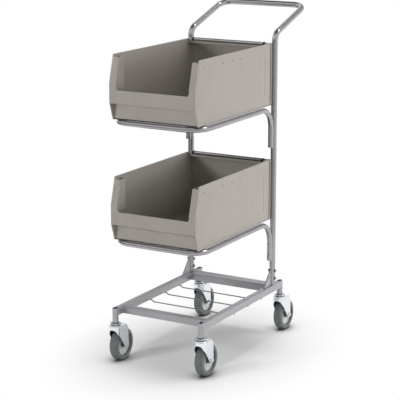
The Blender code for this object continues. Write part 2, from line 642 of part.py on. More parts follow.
def make_fork(name, holder, zinc):
    """The pressed fork: round-fronted crown with a raised race, and two cheeks."""
    middle = CROWN_TOP / 2
    reach = CASTER_TRAIL + FORK_END_RADIUS
    fork = add("fork_" + name, outline_mesh("fork", fork_side_outline(), 2 * (FORK_RADIUS + OVERRUN)), zinc,
               holder, (0, 0, 0), (math.pi / 2, 0, math.pi / 2))
    plan = add_cutter("fork_plan_" + name, outline_mesh("fork_plan",
                      fork_plan_outline(FORK_RADIUS, reach + OVERRUN), CROWN_TOP + 2 * OVERRUN), holder,
                      (0, 0, middle))
    combine(fork, plan, "INTERSECT")
    inside = add_cutter("fork_inside_" + name, outline_mesh("fork_inside",
                        fork_plan_outline(FORK_RADIUS - FORK_WALL, reach + 2 * OVERRUN), CROWN_TOP),
                        holder, (0, 0, middle - CROWN_THICKNESS))
    combine(fork, inside)
    race = turned_mesh("race", [(0, CROWN_TOP + RACE_HEIGHT), (RACE_RADIUS, CROWN_TOP + RACE_HEIGHT),
                                (RACE_RADIUS, CROWN_TOP - CROWN_THICKNESS / 2), (0, CROWN_TOP - CROWN_THICKNESS / 2)],
                       False)
    ring = turn_profile(add_cutter("race_" + name, race, holder), STEM_STEPS)
    combine(fork, ring, "UNION")
    hole = turned_mesh("king_hole", [(0, CROWN_TOP + RACE_HEIGHT + OVERRUN),
                                     (STEM_NECK_RADIUS + GAP, CROWN_TOP + RACE_HEIGHT + OVERRUN),
                                     (STEM_NECK_RADIUS + GAP, CROWN_TOP - CROWN_THICKNESS - OVERRUN),
                                     (0, CROWN_TOP - CROWN_THICKNESS - OVERRUN)], False)
    combine(fork, turn_profile(add_cutter("king_hole_" + name, hole, holder), SMALL_STEPS))
    span = FORK_RADIUS + OVERRUN
    holes = rods_mesh("axle_holes", AXLE_RADIUS + GAP, [((-span, CASTER_TRAIL, WHEEL_RADIUS), 2 * span)], "X")
    combine(fork, add_cutter("axle_holes_" + name, holes, holder))


def make_stem(name, place, root, zinc):
    """Stem, upper race and riveted kingpin, turned as one piece; it stays with the frame."""
    ring_low = CROWN_TOP + RACE_HEIGHT + GAP
    flange_top = SOCKET_BOTTOM - GAP
    rivet_top = CROWN_TOP - CROWN_THICKNESS - GAP
    profile = [(0, RAIL_TOP - STEM_TOP_INSET), (STEM_RADIUS - GAP, RAIL_TOP - STEM_TOP_INSET),
               (STEM_RADIUS, RAIL_TOP - STEM_TOP_INSET - GAP), (STEM_RADIUS, flange_top),
               (STEM_FLANGE_RADIUS, flange_top), (STEM_FLANGE_RADIUS, flange_top - STEM_FLANGE),
               (BALL_RING_RADIUS, flange_top - STEM_FLANGE), (BALL_RING_RADIUS, ring_low),
               (STEM_NECK_RADIUS, ring_low), (STEM_NECK_RADIUS, rivet_top), (RIVET_RADIUS, rivet_top),
               (RIVET_RADIUS, rivet_top - RIVET_HEIGHT / 2), (RIVET_RADIUS / 2, rivet_top - RIVET_HEIGHT),
               (0, rivet_top - RIVET_HEIGHT)]
    mesh = turned_mesh("caster_stem", profile, False)
    turn_profile(add("caster_stem_" + name, mesh, zinc, root, (*place, 0)), STEM_STEPS)


def make_wheel(name, holder, hub_plastic, rubber, zinc):
    """Axle bolt, wheel centre and tyre. The holder lies on the axle."""
    hub_half = FORK_RADIUS - FORK_WALL - GAP
    turn = (0, math.pi / 2, 0)
    bore = AXLE_RADIUS + GAP
    rim_inside = TYRE_BORE - RIM_THICKNESS
    half_profile = [(TYRE_BORE, RIM_HALF), (rim_inside, RIM_HALF), (rim_inside - WEB_CHAMFER, WEB_HALF),
                    (HUB_RADIUS + WEB_CHAMFER, WEB_HALF), (HUB_RADIUS, hub_half), (bore, hub_half)]
    profile = [(r, -z) for r, z in half_profile] + list(reversed(half_profile))
    centre = add("wheel_centre_" + name, turned_mesh("wheel_centre", profile, True), hub_plastic, holder,
                 (0, 0, 0), turn)
    turn_profile(centre, TURN_STEPS)

    half = TYRE_WIDTH / 2
    shoulder = (WHEEL_RADIUS - TYRE_SHOULDER, half - TYRE_SHOULDER)
    upper = [(r, z) for r, z in arc(shoulder, TYRE_SHOULDER, 90, 0, 3)]
    inside = TYRE_BORE + GAP
    profile = [(inside, half)] + upper + [(r, -z) for r, z in reversed(upper)] + [(inside, -half)]
    tyre = add("tyre_" + name, turned_mesh("tyre", profile, True), rubber, holder, (0, 0, 0), turn)
    turn_profile(tyre, TURN_STEPS)

    seat = FORK_RADIUS + GAP
    shank = [((-seat - AXLE_NUT, 0, 0), 2 * seat + AXLE_NUT + AXLE_HEAD)]
    heads = [((seat, 0, 0), AXLE_HEAD), ((-seat - AXLE_NUT, 0, 0), AXLE_NUT)]
    bolt = add("axle_bolt_" + name, rods_mesh("axle_bolt", AXLE_RADIUS, shank, "X"), zinc, holder)
    ends = add_cutter("axle_heads_" + name, rods_mesh("axle_heads", AXLE_HEAD_RADIUS, heads, "X", 6), holder)
    combine(bolt, ends, "UNION")


def make_casters(root, zinc, hub_plastic, rubber):
    """Four alike swivel casters, all trailing to the rear."""
    for name, (x, y) in CASTERS.items():
        make_stem(name, (x, y), root, zinc)
        swivel = bpy.data.objects.new("swivel_axis_" + name, None)
        CART.objects.link(swivel)
        swivel.parent = root
        swivel.location = (x, y, 0)
        make_fork(name, swivel, zinc)
        axle = bpy.data.objects.new("wheel_axis_" + name, None)
        CART.objects.link(axle)
        axle.parent = swivel
        axle.location = (0, CASTER_TRAIL, WHEEL_RADIUS)
        make_wheel(name, axle, hub_plastic, rubber, zinc)


CASTERS = {"front_left": (-HALF_TRACK, -HALF_BASE), "front_right": (HALF_TRACK, -HALF_BASE),
           "rear_left": (-HALF_TRACK, HALF_BASE), "rear_right": (HALF_TRACK, HALF_BASE)}

clear_scene()
CART = collection("service_cart")
CUTTERS = collection("cutters")


def build():
    """Makes the whole cart."""
    paint = material("silver_grey_paint", (0.40, 0.39, 0.41), 0.42, 0.35)
    plastic = material("warm_grey_plastic", (0.43, 0.40, 0.37), 0.55, 0.0)
    black = material("black_plastic", (0.02, 0.02, 0.02), 0.5, 0.0)
    steel = material("bright_steel", (0.55, 0.55, 0.56), 0.30, 1.0)
    zinc = material("zinc_plate", (0.74, 0.76, 0.80), 0.28, 1.0)
    hub_plastic = material("light_grey_plastic", (0.48, 0.50, 0.49), 0.5, 0.0)
    rubber = material("grey_rubber", (0.14, 0.15, 0.155), 0.75, 0.0)

    root = bpy.data.objects.new("cart_place", None)
    CART.objects.link(root)
    root.location = (0, -CENTRE_Y, 0)
    make_base_frame(root, paint)
    make_handle_frame(root, paint)
    make_post_feet(root, paint, steel)
    make_wires(root, steel)
    for level, height in TRAY_HEIGHTS.items():
        make_tray(root, level, height, paint, steel)
        make_bin(root, level, height + TRAY_TUBE_RADIUS + GAP, plastic, steel, black)
    make_casters(root, zinc, hub_plastic, rubber)
    bpy.context.view_layer.update()


build()
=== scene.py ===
"""Looks of the service cart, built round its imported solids."""
import itertools
from math import atan2, cos, degrees, pi, radians, sin, tan, tau

import bmesh
import bpy
from mathutils import Matrix, Vector


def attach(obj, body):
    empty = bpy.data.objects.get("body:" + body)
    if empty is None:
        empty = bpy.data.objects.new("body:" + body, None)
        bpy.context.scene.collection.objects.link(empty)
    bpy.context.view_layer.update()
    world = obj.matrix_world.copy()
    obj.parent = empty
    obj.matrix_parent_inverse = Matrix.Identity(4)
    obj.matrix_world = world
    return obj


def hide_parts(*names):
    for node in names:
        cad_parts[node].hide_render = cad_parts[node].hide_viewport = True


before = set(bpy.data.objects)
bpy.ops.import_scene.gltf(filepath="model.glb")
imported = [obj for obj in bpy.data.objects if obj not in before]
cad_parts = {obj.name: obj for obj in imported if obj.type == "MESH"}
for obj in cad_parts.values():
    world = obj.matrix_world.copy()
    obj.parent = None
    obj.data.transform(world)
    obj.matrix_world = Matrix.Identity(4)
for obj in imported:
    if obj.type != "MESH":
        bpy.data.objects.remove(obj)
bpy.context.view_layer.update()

# Sizes in metres, the same as the solids', but for TOE_SETBACK, which is 0.026 there. Y is counted from the
# middle of the wheelbase, and SHIFT moves it.
SHIFT = -0.076
HALF_TRACK, HALF_BASE = 0.1595, 0.2755
RAIL_TOP, RAIL_BOTTOM, RAIL_WIDTH, RAIL_HEIGHT = 0.1836, 0.1586, 0.020, 0.025
RAIL_WALL, RAIL_CORNER = 0.0015, 0.003
SOCKET_RADIUS, SOCKET_WALL, SOCKET_BOTTOM = 0.010, 0.0017, 0.1347
FRONT_ROOM, REAR_ROOM, REAR_RAIL_DEPTH = 0.021, 0.022, 0.045     # room between the sockets and the cross rails
FRONT_RAIL_Y = -HALF_BASE + SOCKET_RADIUS + FRONT_ROOM + RAIL_WIDTH / 2
REAR_RAIL_Y = HALF_BASE - SOCKET_RADIUS - REAR_ROOM - REAR_RAIL_DEPTH / 2
POST_RADIUS, POST_WALL, POST_Y = 0.010, 0.0015, 0.217
POST_BEND_HEIGHT, HANDLE_HEIGHT, HANDLE_Y = 1.040, 1.1155, 0.443
POST_BEND, HANDLE_BEND = 0.035, 0.042
TRAY_RADIUS, TRAY_HALF, TRAY_FRONT, TRAY_LEG_Y = 0.009, 0.158, 0.2785, 0.1977
TRAY_HEIGHTS = {"lower": 0.406, "upper": 0.796}
TRAY_LEG, TRAY_WALL, TRAY_LEG_BEND, TRAY_CORNER_BEND = 0.132, 0.0015, 0.065, 0.055
SCREW_HEIGHTS = (0.0142, 0.0570)
BOLT_HEIGHTS = (0.023, 0.049)
WIRE_RADIUS, WIRE_PITCH, WIRE_MIDDLE = 0.002, 0.0963, -0.0175
WIRE_PLACES = [WIRE_MIDDLE + (i - 1.5) * WIRE_PITCH for i in range(4)]
WIRE_SINK, WIRE_SLANT, WIRE_BEND = 0.0056, 0.0075, 0.003
BIN_HALF, BIN_HEIGHT, BIN_WALL, BIN_FRONT, BIN_REAR = 0.155, 0.206, 0.003, 0.301, 0.2067
SKIRT_BOTTOM, SKIRT_TOP, LEAN, TOE_SETBACK, FOOT_SLOPE = 0.054, 0.118, 0.024, 0.0225, 0.018
SILL, PILLAR_WIDTH, PILLAR_DEPTH, PILLAR_DROP = 0.0965, 0.023, 0.052, 0.008
LIP_DEPTH, LIP_HEIGHT, LIP_STEP = 0.024, 0.015, 0.007
FOOT_STEP, FOOT_STEP_DEPTH, EDGE_STEP, EDGE_STEP_DEPTH = 0.0045, 0.0013, 0.0024, 0.0011
GROOVE_SETBACK, GROOVE_WIDTH, GROOVE_DEPTH = 0.0085, 0.0030, 0.0020
RIB_SETBACK, RIB_WIDTH, RIB_DEPTH, RIB_LOW, RIB_HIGH = 0.052, 0.0025, 0.0006, 0.037, 0.173
DOT_RADIUS, DOT_DEPTH, MOUTH_CORNER = 0.0026, 0.0015, 0.010
DOTS = ((0.052, 0.024), (0.175, 0.026), (0.235, 0.026), (0.290, 0.026))     # from the front, below the rim
BAR_RADIUS, BAR_LENGTH, BAR_SETBACK, BAR_DROP = 0.0063, 0.260, 0.0165, 0.002
CAP_LENGTH, CAP_RADIUS = 0.007, 0.0066
WHEEL_RADIUS, TYRE_HALF, TYRE_BORE, TYRE_ROUND, TRAIL = 0.054, 0.015, 0.037, 0.009, 0.033
CROWN_TOP, CROWN_THICKNESS, FORK_RADIUS, FORK_WALL, FORK_END = 0.1231, 0.003, 0.0215, 0.0025, 0.0103
RACE_HEIGHT, FLANGE_HEIGHT, AXLE_BORE = 0.0042, 0.0042, 0.0043
GAP = 0.0003
OVER = 0.004      # how far a cutter reaches past the faces that it cuts
GUSSET_NOSE, GUSSET_HEEL = POST_Y - POST_RADIUS - 0.051, POST_Y - POST_RADIUS - GAP
GUSSET_HEIGHT, GUSSET_HALF, GUSSET_EDGE = 0.057, 0.002, 0.003

SIDES = (("left", -1), ("right", 1))
CASTERS = {end + "_" + side: (sx * HALF_TRACK, sy * HALF_BASE)
           for end, sy in (("front", -1), ("rear", 1)) for side, sx in SIDES}

# Studio
LOW_LIGHT, MIDDLE_LIGHT, HIGH_LIGHT = 0.35, 0.22, 0.18
RIGHT_WALL, RIGHT_SIDE = 2.1, (0.95, 0.31, 0.0)
GLOSS_DARK, DARK_SIDE = 0.06, (-0.36, -0.02, 0.93)
GLINT, GLINT_SIDE = 8.0, (0.50, 0.40, 0.77)
HORIZON_DARK, HORIZON_SIDE = 0.35, (-0.45, -0.88, 0.0)
BACK_DARK, BACK_SIDE = 0.48, (0.17, 0.78, 0.60)
TOP_DARK, TOP_SIDE = 0.30, (0.42, -0.05, 0.91)
LAMPS = {"front_softbox": ((-1.27, -2.73, 1.45), (0.6, 0.5), 29.5),
         "right_softbox": ((2.2, 1.9, 0.7), (1.6, 1.2), 42.0),
         "top_softbox": ((0.0, 0.0, 8.0), (1.3, 1.3), 150.0)}
LAMP_TARGET = Vector((0, 0, 0.5))
FLOOR_TONE, FLOOR_GLOW, FADE_START, FADE_END, FADE_NARROW, FADE_SHIFT = 0.93, 0.08, 0.15, 0.65, 1.3, 0.1
CARD_FROM, CARD_TO = -100.0, 165.0     # from the front, towards the left, in degrees
CONTACT_REACH, PAINTED_CONTACT_SHADE = 0.07, 0.16
CARD_RADIUS, CARD_STEPS = 1.6, 53
LENS, CAMERA_DOWN, CAMERA_TURN = 132.13, 13.23883569, 29.68405673     # the angles in degrees
CAMERA_PLACE = (2.33472467, -4.17298986, 1.61487257)


# ---- materials

class Network:
    """Short calls for a node tree. A value is a number, a colour or the output of a node."""

    def __init__(self, tree, place):
        self.tree = tree
        self.place = self.node("TexCoord").outputs[place]

    def node(self, kind, **inputs):
        made = self.tree.nodes.new("ShaderNode" + kind)
        for key, value in inputs.items():
            self.put(value, made.inputs[key.replace("_", " ")])
        return made

    def put(self, value, socket):
        if hasattr(value, "is_linked"):
            self.tree.links.new(value, socket)
        else:
            socket.default_value = value

    def scaled(self, stretch):
        """The place in metres, stretched along the axes."""
        return self.node("Mapping", Vector=self.place, Scale=stretch).outputs["Vector"]

    def noise(self, scale, detail=3.0, rough=0.5, stretch=(1, 1, 1)):
        return self.node("TexNoise", Scale=scale, Detail=detail, Roughness=rough,
                         Vector=self.scaled(stretch)).outputs["Fac"]

    def cells(self, scale):
        return self.node("TexVoronoi", Scale=scale, Vector=self.scaled((1, 1, 1))).outputs["Distance"]

    def axis(self, name):
        return self.node("SeparateXYZ", Vector=self.place).outputs[name]

    def span(self, value, low, high, first=0.0, last=1.0, smooth=True):
        """Maps low..high of a value to first..last."""
        made = self.node("MapRange", Value=value, From_Min=low, From_Max=high, To_Min=first, To_Max=last)
        made.interpolation_type = "SMOOTHSTEP" if smooth else "LINEAR"
        return made.outputs["Result"]

    def math(self, operation, first, second=0.0):
        made = self.node("Math")
        made.operation = operation
        self.put(first, made.inputs[0])
        self.put(second, made.inputs[1])
        return made.outputs[0]

    def plus(self, first, second):
        return self.math("ADD", first, second)

    def times(self, first, second):
        return self.math("MULTIPLY", first, second)

    def larger(self, first, second):
        return self.math("MAXIMUM", first, second)

    def fall(self, value, low, high):
        return self.span(value, low, high, 1.0, 0.0)

    def dot(self, first, second):
        made = self.node("VectorMath")
        made.operation = "DOT_PRODUCT"
        self.put(first, made.inputs[0])
        self.put(second, made.inputs[1])
        return made.outputs["Value"]

    def length(self, first, second):
        return self.math("SQRT", self.plus(self.math("POWER", first, 2.0), self.math("POWER", second, 2.0)))

    def mix(self, factor, first, second):
        """Mixes two colours."""
        made = self.node("Mix")
        made.data_type = "RGBA"
        for value, socket in ((factor, made.inputs[0]), (first, made.inputs[6]), (second, made.inputs[7])):
            self.put((*value, 1.0) if isinstance(value, tuple) else value, socket)
        return made.outputs[2]

    def blend(self, factor, first, second, output="Material Output"):
        """Shows a mix of two shaders."""
        made = self.node("MixShader")
        for value, socket in zip((factor, first, second), made.inputs):
            self.put(value, socket)
        self.put(made.outputs[0], self.tree.nodes[output].inputs["Surface"])

    def seen(self):
        """1 for camera, glossy and transmission rays."""
        path = self.node("LightPath")
        return self.larger(self.larger(path.outputs["Is Camera Ray"], path.outputs["Is Glossy Ray"]),
                           path.outputs["Is Transmission Ray"])


class Look(Network):
    """A Principled material."""

    def __init__(self, name, roughness, metallic, specular=0.5, coat=0.0, coat_roughness=0.1):
        self.made = bpy.data.materials.new(name)
        self.made.use_nodes = True
        super().__init__(self.made.node_tree, "Object")
        self.shader = self.tree.nodes["Principled BSDF"]
        for key, value in (("Roughness", roughness), ("Metallic", metallic), ("Specular IOR Level", specular),
                           ("Coat Weight", coat), ("Coat Roughness", coat_roughness)):
            self.shader.inputs[key].default_value = value

    def edges(self, radius, share):
        """A share along sharp edges, where a bevelled normal leaves the true one, and 0 elsewhere."""
        bevel = self.node("Bevel", Radius=radius)
        bevel.samples = 4
        along = self.dot(bevel.outputs["Normal"], self.node("NewGeometry").outputs["True Normal"])
        return self.span(self.math("SUBTRACT", 1.0, along), 0.02, 0.30, 0.0, share)

    def tones(self, factor, first, second):
        """Sets the colour to a mix of two."""
        self.colour = self.mix(factor, first, second)

    def tint(self, factor, tone):
        """Lays a tone over the colour."""
        self.tones(factor, self.colour, tone)

    def finish(self, roughness, *bumps):
        """Connects the colour, a roughness and (height, depth in metres, strength) bumps."""
        self.put(self.colour, self.shader.inputs["Base Color"])
        self.put(roughness, self.shader.inputs["Roughness"])
        normal = None
        for height, depth, strength in bumps:
            bump = self.node("Bump", Strength=strength, Distance=depth, Height=height)
            if normal is not None:
                self.put(normal, bump.inputs["Normal"])
            normal = bump.outputs["Normal"]
        self.put(normal, self.shader.inputs["Normal"])
        return self.made


def paint_look(name, wear, metallic, rough_low, rough_high):
    """Silver-grey enamel: fine flakes, orange peel, faint scuffs and, on flat pieces, rubbed edges."""
    look = Look(name, 0.24, metallic, 0.5, 0.2, 0.08)
    look.tones(look.span(look.noise(9.0, 4.0), 0.3, 0.7), (0.366, 0.354, 0.378), (0.406, 0.394, 0.418))
    look.tint(look.span(look.cells(2600.0), 0.0, 0.6, 0.30, 0.0), (0.48, 0.47, 0.49))
    scuff = look.span(look.noise(70.0, 6.0, 0.7), 0.70, 0.78)
    look.tint(look.times(scuff, 0.18), (0.30, 0.29, 0.30))
    if wear:
        patchy = look.span(look.noise(55.0, 5.0, 0.65), 0.42, 0.62, 0.1, 0.8)
        look.tint(look.edges(0.0010, patchy), (0.55, 0.55, 0.56))
    rough = look.plus(look.span(look.noise(38.0, 4.0), 0.3, 0.7, rough_low, rough_high), look.times(scuff, 0.10))
    return look.finish(rough, (look.noise(420.0, 2.0), 0.00012, 0.05), (look.noise(60.0, 2.0), 0.0004, 0.02))


def plastic_look():
    """Warm grey moulded plastic: fine grain, flow marks, scratches and paler rubbed edges, with painted light at the
    mouth, on the inner walls and on a strip by the rear groove, and painted shade along the foot and in the grooves.
    """
    look = Look("bin_warm_grey_plastic", 0.5, 0.0, 0.42)
    cloud = look.noise(5.0, 5.0, 0.55)
    flow = look.noise(46.0, 3.0, 0.5, (1, 1, 0.06))
    look.tones(look.span(cloud, 0.3, 0.7), (0.372, 0.344, 0.312), (0.400, 0.371, 0.338))
    look.tint(look.span(flow, 0.35, 0.65, 0.0, 0.35), (0.420, 0.386, 0.352))
    look.tint(look.span(look.noise(1500.0, 2.0), 0.62, 0.75, 0.0, 0.22), (0.30, 0.275, 0.245))
    scratch = look.span(look.noise(90.0, 6.0, 0.7, (1, 0.25, 5)), 0.68, 0.72)
    look.tint(look.times(scratch, 0.16), (0.48, 0.45, 0.41))
    worn = look.span(look.noise(42.0, 5.0, 0.6), 0.35, 0.65, 0.15, 0.75)
    look.tint(look.edges(0.0016, worn), (0.49, 0.47, 0.44))
    # Painted light: paler at the sides of the mouth and on the inner walls below the rim
    width, depth, z = look.math("ABSOLUTE", look.axis("X")), look.axis("Y"), look.axis("Z")
    inner, groove = BIN_HALF - BIN_WALL, BIN_REAR - GROOVE_SETBACK
    off_mouth = look.math("ABSOLUTE", look.math("SUBTRACT", width, BIN_HALF - PILLAR_WIDTH))
    off_wall = look.math("ABSOLUTE", look.math("SUBTRACT", width, inner))
    mouth = look.times(look.span(off_mouth, 0.0005, 0.0010, 0.95, 0.0), look.span(z, SILL, SILL + 0.006))
    wall = look.times(look.span(off_wall, 0.0003, 0.0006, 0.85, 0.0), look.span(z, 0.120, BIN_HEIGHT - 0.01))
    # and painted light on the strip behind the groove, against the shade that the post casts on it
    painted_strip_light = look.times(look.span(width, BIN_HALF - 0.0008, BIN_HALF - 0.0004),
                       look.span(depth, groove + 0.0004, groove + 0.0012))
    look.tint(look.larger(mouth, wall), (0.500, 0.465, 0.423))
    look.tint(painted_strip_light, (0.580, 0.540, 0.492))
    # Painted shade in the steps along the foot and in the grooves
    toe = TOE_SETBACK - BIN_FRONT + FOOT_STEP_DEPTH
    foot = look.times(look.fall(width, inner - 0.0002, inner),
                      look.fall(depth, toe + 0.0002, toe + 0.0005))
    foot = look.times(look.fall(z, FOOT_STEP - 0.0003, FOOT_STEP), foot)
    foot = look.larger(foot, look.fall(z, EDGE_STEP - 0.0003, EDGE_STEP))
    across = look.span(width, BIN_HALF - GROOVE_DEPTH - 0.0002, BIN_HALF - GROOVE_DEPTH)
    along = look.times(look.span(depth, groove - 0.0046, groove - 0.0038),
                       look.fall(depth, groove, groove + 0.0004))
    foot = look.larger(foot, look.times(across, along))
    look.tint(look.times(foot, look.span(cloud, 0.3, 0.7, 0.97, 0.88)), (0.035, 0.034, 0.032))
    rough = look.plus(look.span(look.noise(18.0, 4.0), 0.3, 0.7, 0.42, 0.56), look.times(scratch, 0.08))
    return look.finish(rough, (look.noise(1300.0, 3.0, 0.6), 0.00016, 0.16),
                       (flow, 0.0012, 0.04), (scratch, 0.0001, 0.15))


def black_look():
    """Black moulded end caps."""
    look = Look("cap_black_plastic", 0.45, 0.0, 0.5)
    look.tones(look.span(look.noise(160.0, 4.0), 0.35, 0.65), (0.013, 0.013, 0.014), (0.024, 0.024, 0.025))
    look.tint(look.edges(0.0007, 0.6), (0.075, 0.075, 0.078))
    rough = look.span(look.noise(300.0, 3.0), 0.3, 0.7, 0.38, 0.54)
    return look.finish(rough, (look.noise(1700.0, 2.0), 0.0001, 0.2))


def steel_look(name, colour, dark, rough_low, rough_high, stretch):
    """Drawn bright steel: long fine draw lines, small stains and rubbed ends."""
    look = Look(name, 0.25, 1.0)
    lines = look.noise(240.0, 5.0, 0.65, stretch)
    stain = look.span(look.noise(75.0, 6.0, 0.65), 0.60, 0.72, 0.0, 0.5)
    look.tones(look.span(lines, 0.3, 0.7), dark, colour)
    look.tint(stain, tuple(0.62 * c for c in dark))
    look.tint(look.edges(0.0006, 0.7), tuple(1.2 * c for c in colour))
    rough = look.span(lines, 0.25, 0.75, rough_low, rough_high)
    return look.finish(rough, (lines, 0.00006, 0.25))


def zinc_look():
    """Bluish zinc plate: faint crystals, tints and grey rubbed spots, with painted shade inside the fork and over its
    race and a painted dark reflection on the stem's flange.
    """
    look = Look("caster_zinc_plate", 0.3, 1.0)
    crystal = look.cells(260.0)
    tint = look.noise(45.0, 4.0, 0.6)
    look.tones(look.span(crystal, 0.0, 0.8), (0.79, 0.82, 0.86), (0.85, 0.88, 0.92))
    look.tint(look.span(tint, 0.55, 0.75, 0.0, 0.25), (0.76, 0.75, 0.71))
    look.tint(look.span(look.noise(160.0, 6.0, 0.7), 0.66, 0.76, 0.0, 0.35), (0.52, 0.53, 0.55))
    look.tint(look.edges(0.0008, 0.55), (0.93, 0.95, 0.97))
    # Painted shade inside the fork and in the groove over its race
    z = look.axis("Z")
    crown, race, flange = CROWN_TOP - CROWN_THICKNESS, CROWN_TOP + RACE_HEIGHT, SOCKET_BOTTOM - GAP - FLANGE_HEIGHT
    across = look.length(look.axis("X"), look.math("MINIMUM", look.axis("Y"), 0.0))
    inside = look.times(look.fall(across, FORK_RADIUS - 0.0022, FORK_RADIUS - 0.0012),
                        look.fall(z, crown - 0.0011, crown + 0.0007))
    inside = look.times(inside, look.span(z, 0.020, 0.030))
    groove = look.times(look.span(z, race + 0.0001, race + 0.0004),
                        look.fall(z, flange - 0.0003, flange + 0.0001))
    painted_shade = look.times(look.larger(inside, groove), look.span(tint, 0.3, 0.7, 0.95, 0.75))
    look.tint(painted_shade, (0.060, 0.062, 0.066))
    # Painted dark reflection on the stem's flange and above it
    painted_dark_reflection = look.span(z, flange + 0.0001, flange + 0.0004)
    look.tint(look.times(painted_dark_reflection, look.span(tint, 0.3, 0.7, 0.85, 0.6)), (0.34, 0.35, 0.37))
    rough = look.span(look.noise(85.0, 4.0), 0.3, 0.7, 0.18, 0.30)
    return look.finish(rough, (look.noise(520.0, 3.0), 0.00012, 0.12), (crystal, 0.00006, 0.05))


def hub_look():
    """Pale grey nylon wheel centre with turning dust and rubbed rim, and painted shade round the bearing."""
    look = Look("wheel_pale_grey_nylon", 0.45, 0.0, 0.5)
    dust = look.noise(70.0, 5.0, 0.6)
    look.tones(look.span(dust, 0.3, 0.7), (0.50, 0.53, 0.53), (0.59, 0.62, 0.61))
    look.tint(look.span(look.noise(230.0, 6.0, 0.7), 0.60, 0.70, 0.0, 0.4), (0.33, 0.34, 0.34))
    look.tint(look.edges(0.0009, 0.5), (0.72, 0.74, 0.74))
    # Painted shade round the bearing
    radius = look.length(look.axis("Y"), look.axis("Z"))
    painted_shade = look.times(look.fall(radius, 0.0122, 0.0132), look.span(dust, 0.3, 0.7, 0.98, 0.86))
    look.tint(painted_shade, (0.045, 0.047, 0.050))
    rough = look.span(dust, 0.3, 0.7, 0.34, 0.52)
    return look.finish(rough, (look.noise(900.0, 3.0), 0.0001, 0.2))


def rubber_look():
    """Grey rubber tyre: fine grain, scuffed and dusty on the tread."""
    look = Look("tyre_grey_rubber", 0.7, 0.0, 0.35)
    radius = look.length(look.axis("Y"), look.axis("Z"))
    tread = look.span(radius, 0.0505, 0.0535)
    cloud = look.noise(60.0, 5.0, 0.6)
    look.tones(look.span(cloud, 0.3, 0.7), (0.150, 0.161, 0.166), (0.190, 0.201, 0.206))
    scuff = look.span(look.noise(200.0, 7.0, 0.72, (2.5, 1, 1)), 0.50, 0.68, 0.0, 0.55)
    look.tint(look.times(scuff, tread), (0.27, 0.275, 0.27))
    look.tint(look.edges(0.0010, 0.35), (0.23, 0.24, 0.24))
    rough = look.plus(look.span(cloud, 0.3, 0.7, 0.58, 0.74), look.times(tread, 0.08))
    rings = look.math("SINE", look.times(radius, 5200.0))
    rings = look.times(rings, look.fall(radius, 0.0500, 0.0515))
    return look.finish(rough, (look.noise(1500.0, 4.0, 0.6), 0.00025, 0.30), (rings, 0.00006, 0.12))


PAINT = paint_look("rail_silver_enamel", True, 0.32, 0.28, 0.36)
TUBE_PAINT = paint_look("tube_silver_enamel", False, 0.85, 0.10, 0.16)
PLASTIC = plastic_look()
BLACK = black_look()
BAR_STEEL = steel_look("bar_bright_steel", (0.58, 0.575, 0.58), (0.42, 0.415, 0.42), 0.16, 0.34, (0.03, 1, 1))
WIRE_STEEL = steel_look("wire_drawn_steel", (0.36, 0.37, 0.37), (0.25, 0.26, 0.26), 0.28, 0.44, (0.05, 1, 1))
BOLT_STEEL = steel_look("bolt_steel", (0.50, 0.50, 0.51), (0.34, 0.34, 0.35), 0.26, 0.44, (1, 1, 1))
ZINC = zinc_look()
HUB = hub_look()
RUBBER = rubber_look()
CUT, ADD = "DIFFERENCE", "UNION"


# ---- building

def linked(name, data):
    """A new object with the given data in the scene."""
    made = bpy.data.objects.new(name, data)
    bpy.context.scene.collection.objects.link(made)
    return made


def place_piece(name, mesh, look, body, nodes=(), origin=(0, 0, 0), sharp=35):
    """Links a finished mesh as a piece that rides on a body and stands for the given nodes."""
    mesh.materials.clear()
    mesh.materials.append(look)
    mesh.shade_smooth()
    mesh.set_sharp_from_angle(angle=radians(sharp))
    piece = linked(name, mesh)
    piece.location = Vector(origin) + Vector((0, SHIFT, 0))
    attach(piece, body)
    if nodes:
        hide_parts(*nodes)
    return piece


def written(name, bm):
    """Writes a bmesh to a new mesh."""
    mesh = bpy.data.meshes.new(name)
    bm.to_mesh(mesh)
    bm.free()
    return mesh


def mesh_from(name, bm):
    """The same, with double points merged and the faces turned outwards."""
    bmesh.ops.remove_doubles(bm, verts=bm.verts, dist=0.000002)
    bmesh.ops.recalc_face_normals(bm, faces=bm.faces)
    return written(name, bm)


def merged(mesh, distance, flatten=False):
    """Merges close points of a mesh and, where asked, joins the faces that lie in one plane."""
    bm = bmesh.new()
    bm.from_mesh(mesh)
    bmesh.ops.remove_doubles(bm, verts=bm.verts, dist=distance)
    if flatten:
        bmesh.ops.dissolve_limit(bm, angle_limit=radians(0.5), verts=bm.verts, edges=bm.edges)
    bm.to_mesh(mesh)
    bm.free()


def bridge(bm, rings, flip=False):
    """Faces between each ring of points and the next."""
    for first, second in zip(rings, rings[1:]):
        for k in range(len(first)):
            n = (k + 1) % len(first)
            face = (first[k], first[n], second[n], second[k])
            bm.faces.new(tuple(reversed(face)) if flip else face)


def shifted(mesh, matrix):
    mesh.transform(matrix)
    return mesh


def evaluated(piece):
    """The mesh of an object with its modifiers applied, as a new mesh, and the object removed."""
    bpy.context.view_layer.update()
    mesh = bpy.data.meshes.new_from_object(piece.evaluated_get(bpy.context.evaluated_depsgraph_get()))
    mesh.name = piece.name
    bpy.data.objects.remove(piece, do_unlink=True)
    return mesh


def combine(mesh, cutters):
    """A mesh after Booleans with (mesh, operation) pairs."""
    piece = linked(mesh.name, mesh)
    others = []
    for cutter, operation in cutters:
        other = linked("cutter", cutter)
        mod = piece.modifiers.new("Step", "BOOLEAN")
        mod.operation = operation
        mod.solver = "EXACT"
        mod.object = other
        others.append(other)
    made = evaluated(piece)
    for other in others:
        bpy.data.objects.remove(other, do_unlink=True)
    return made


def even(piece):
    """Keeps flat faces flat beside their rounded edges."""
    mod = piece.modifiers.new("Even", "WEIGHTED_NORMAL")
    mod.keep_sharp = True
    mod.weight = 100


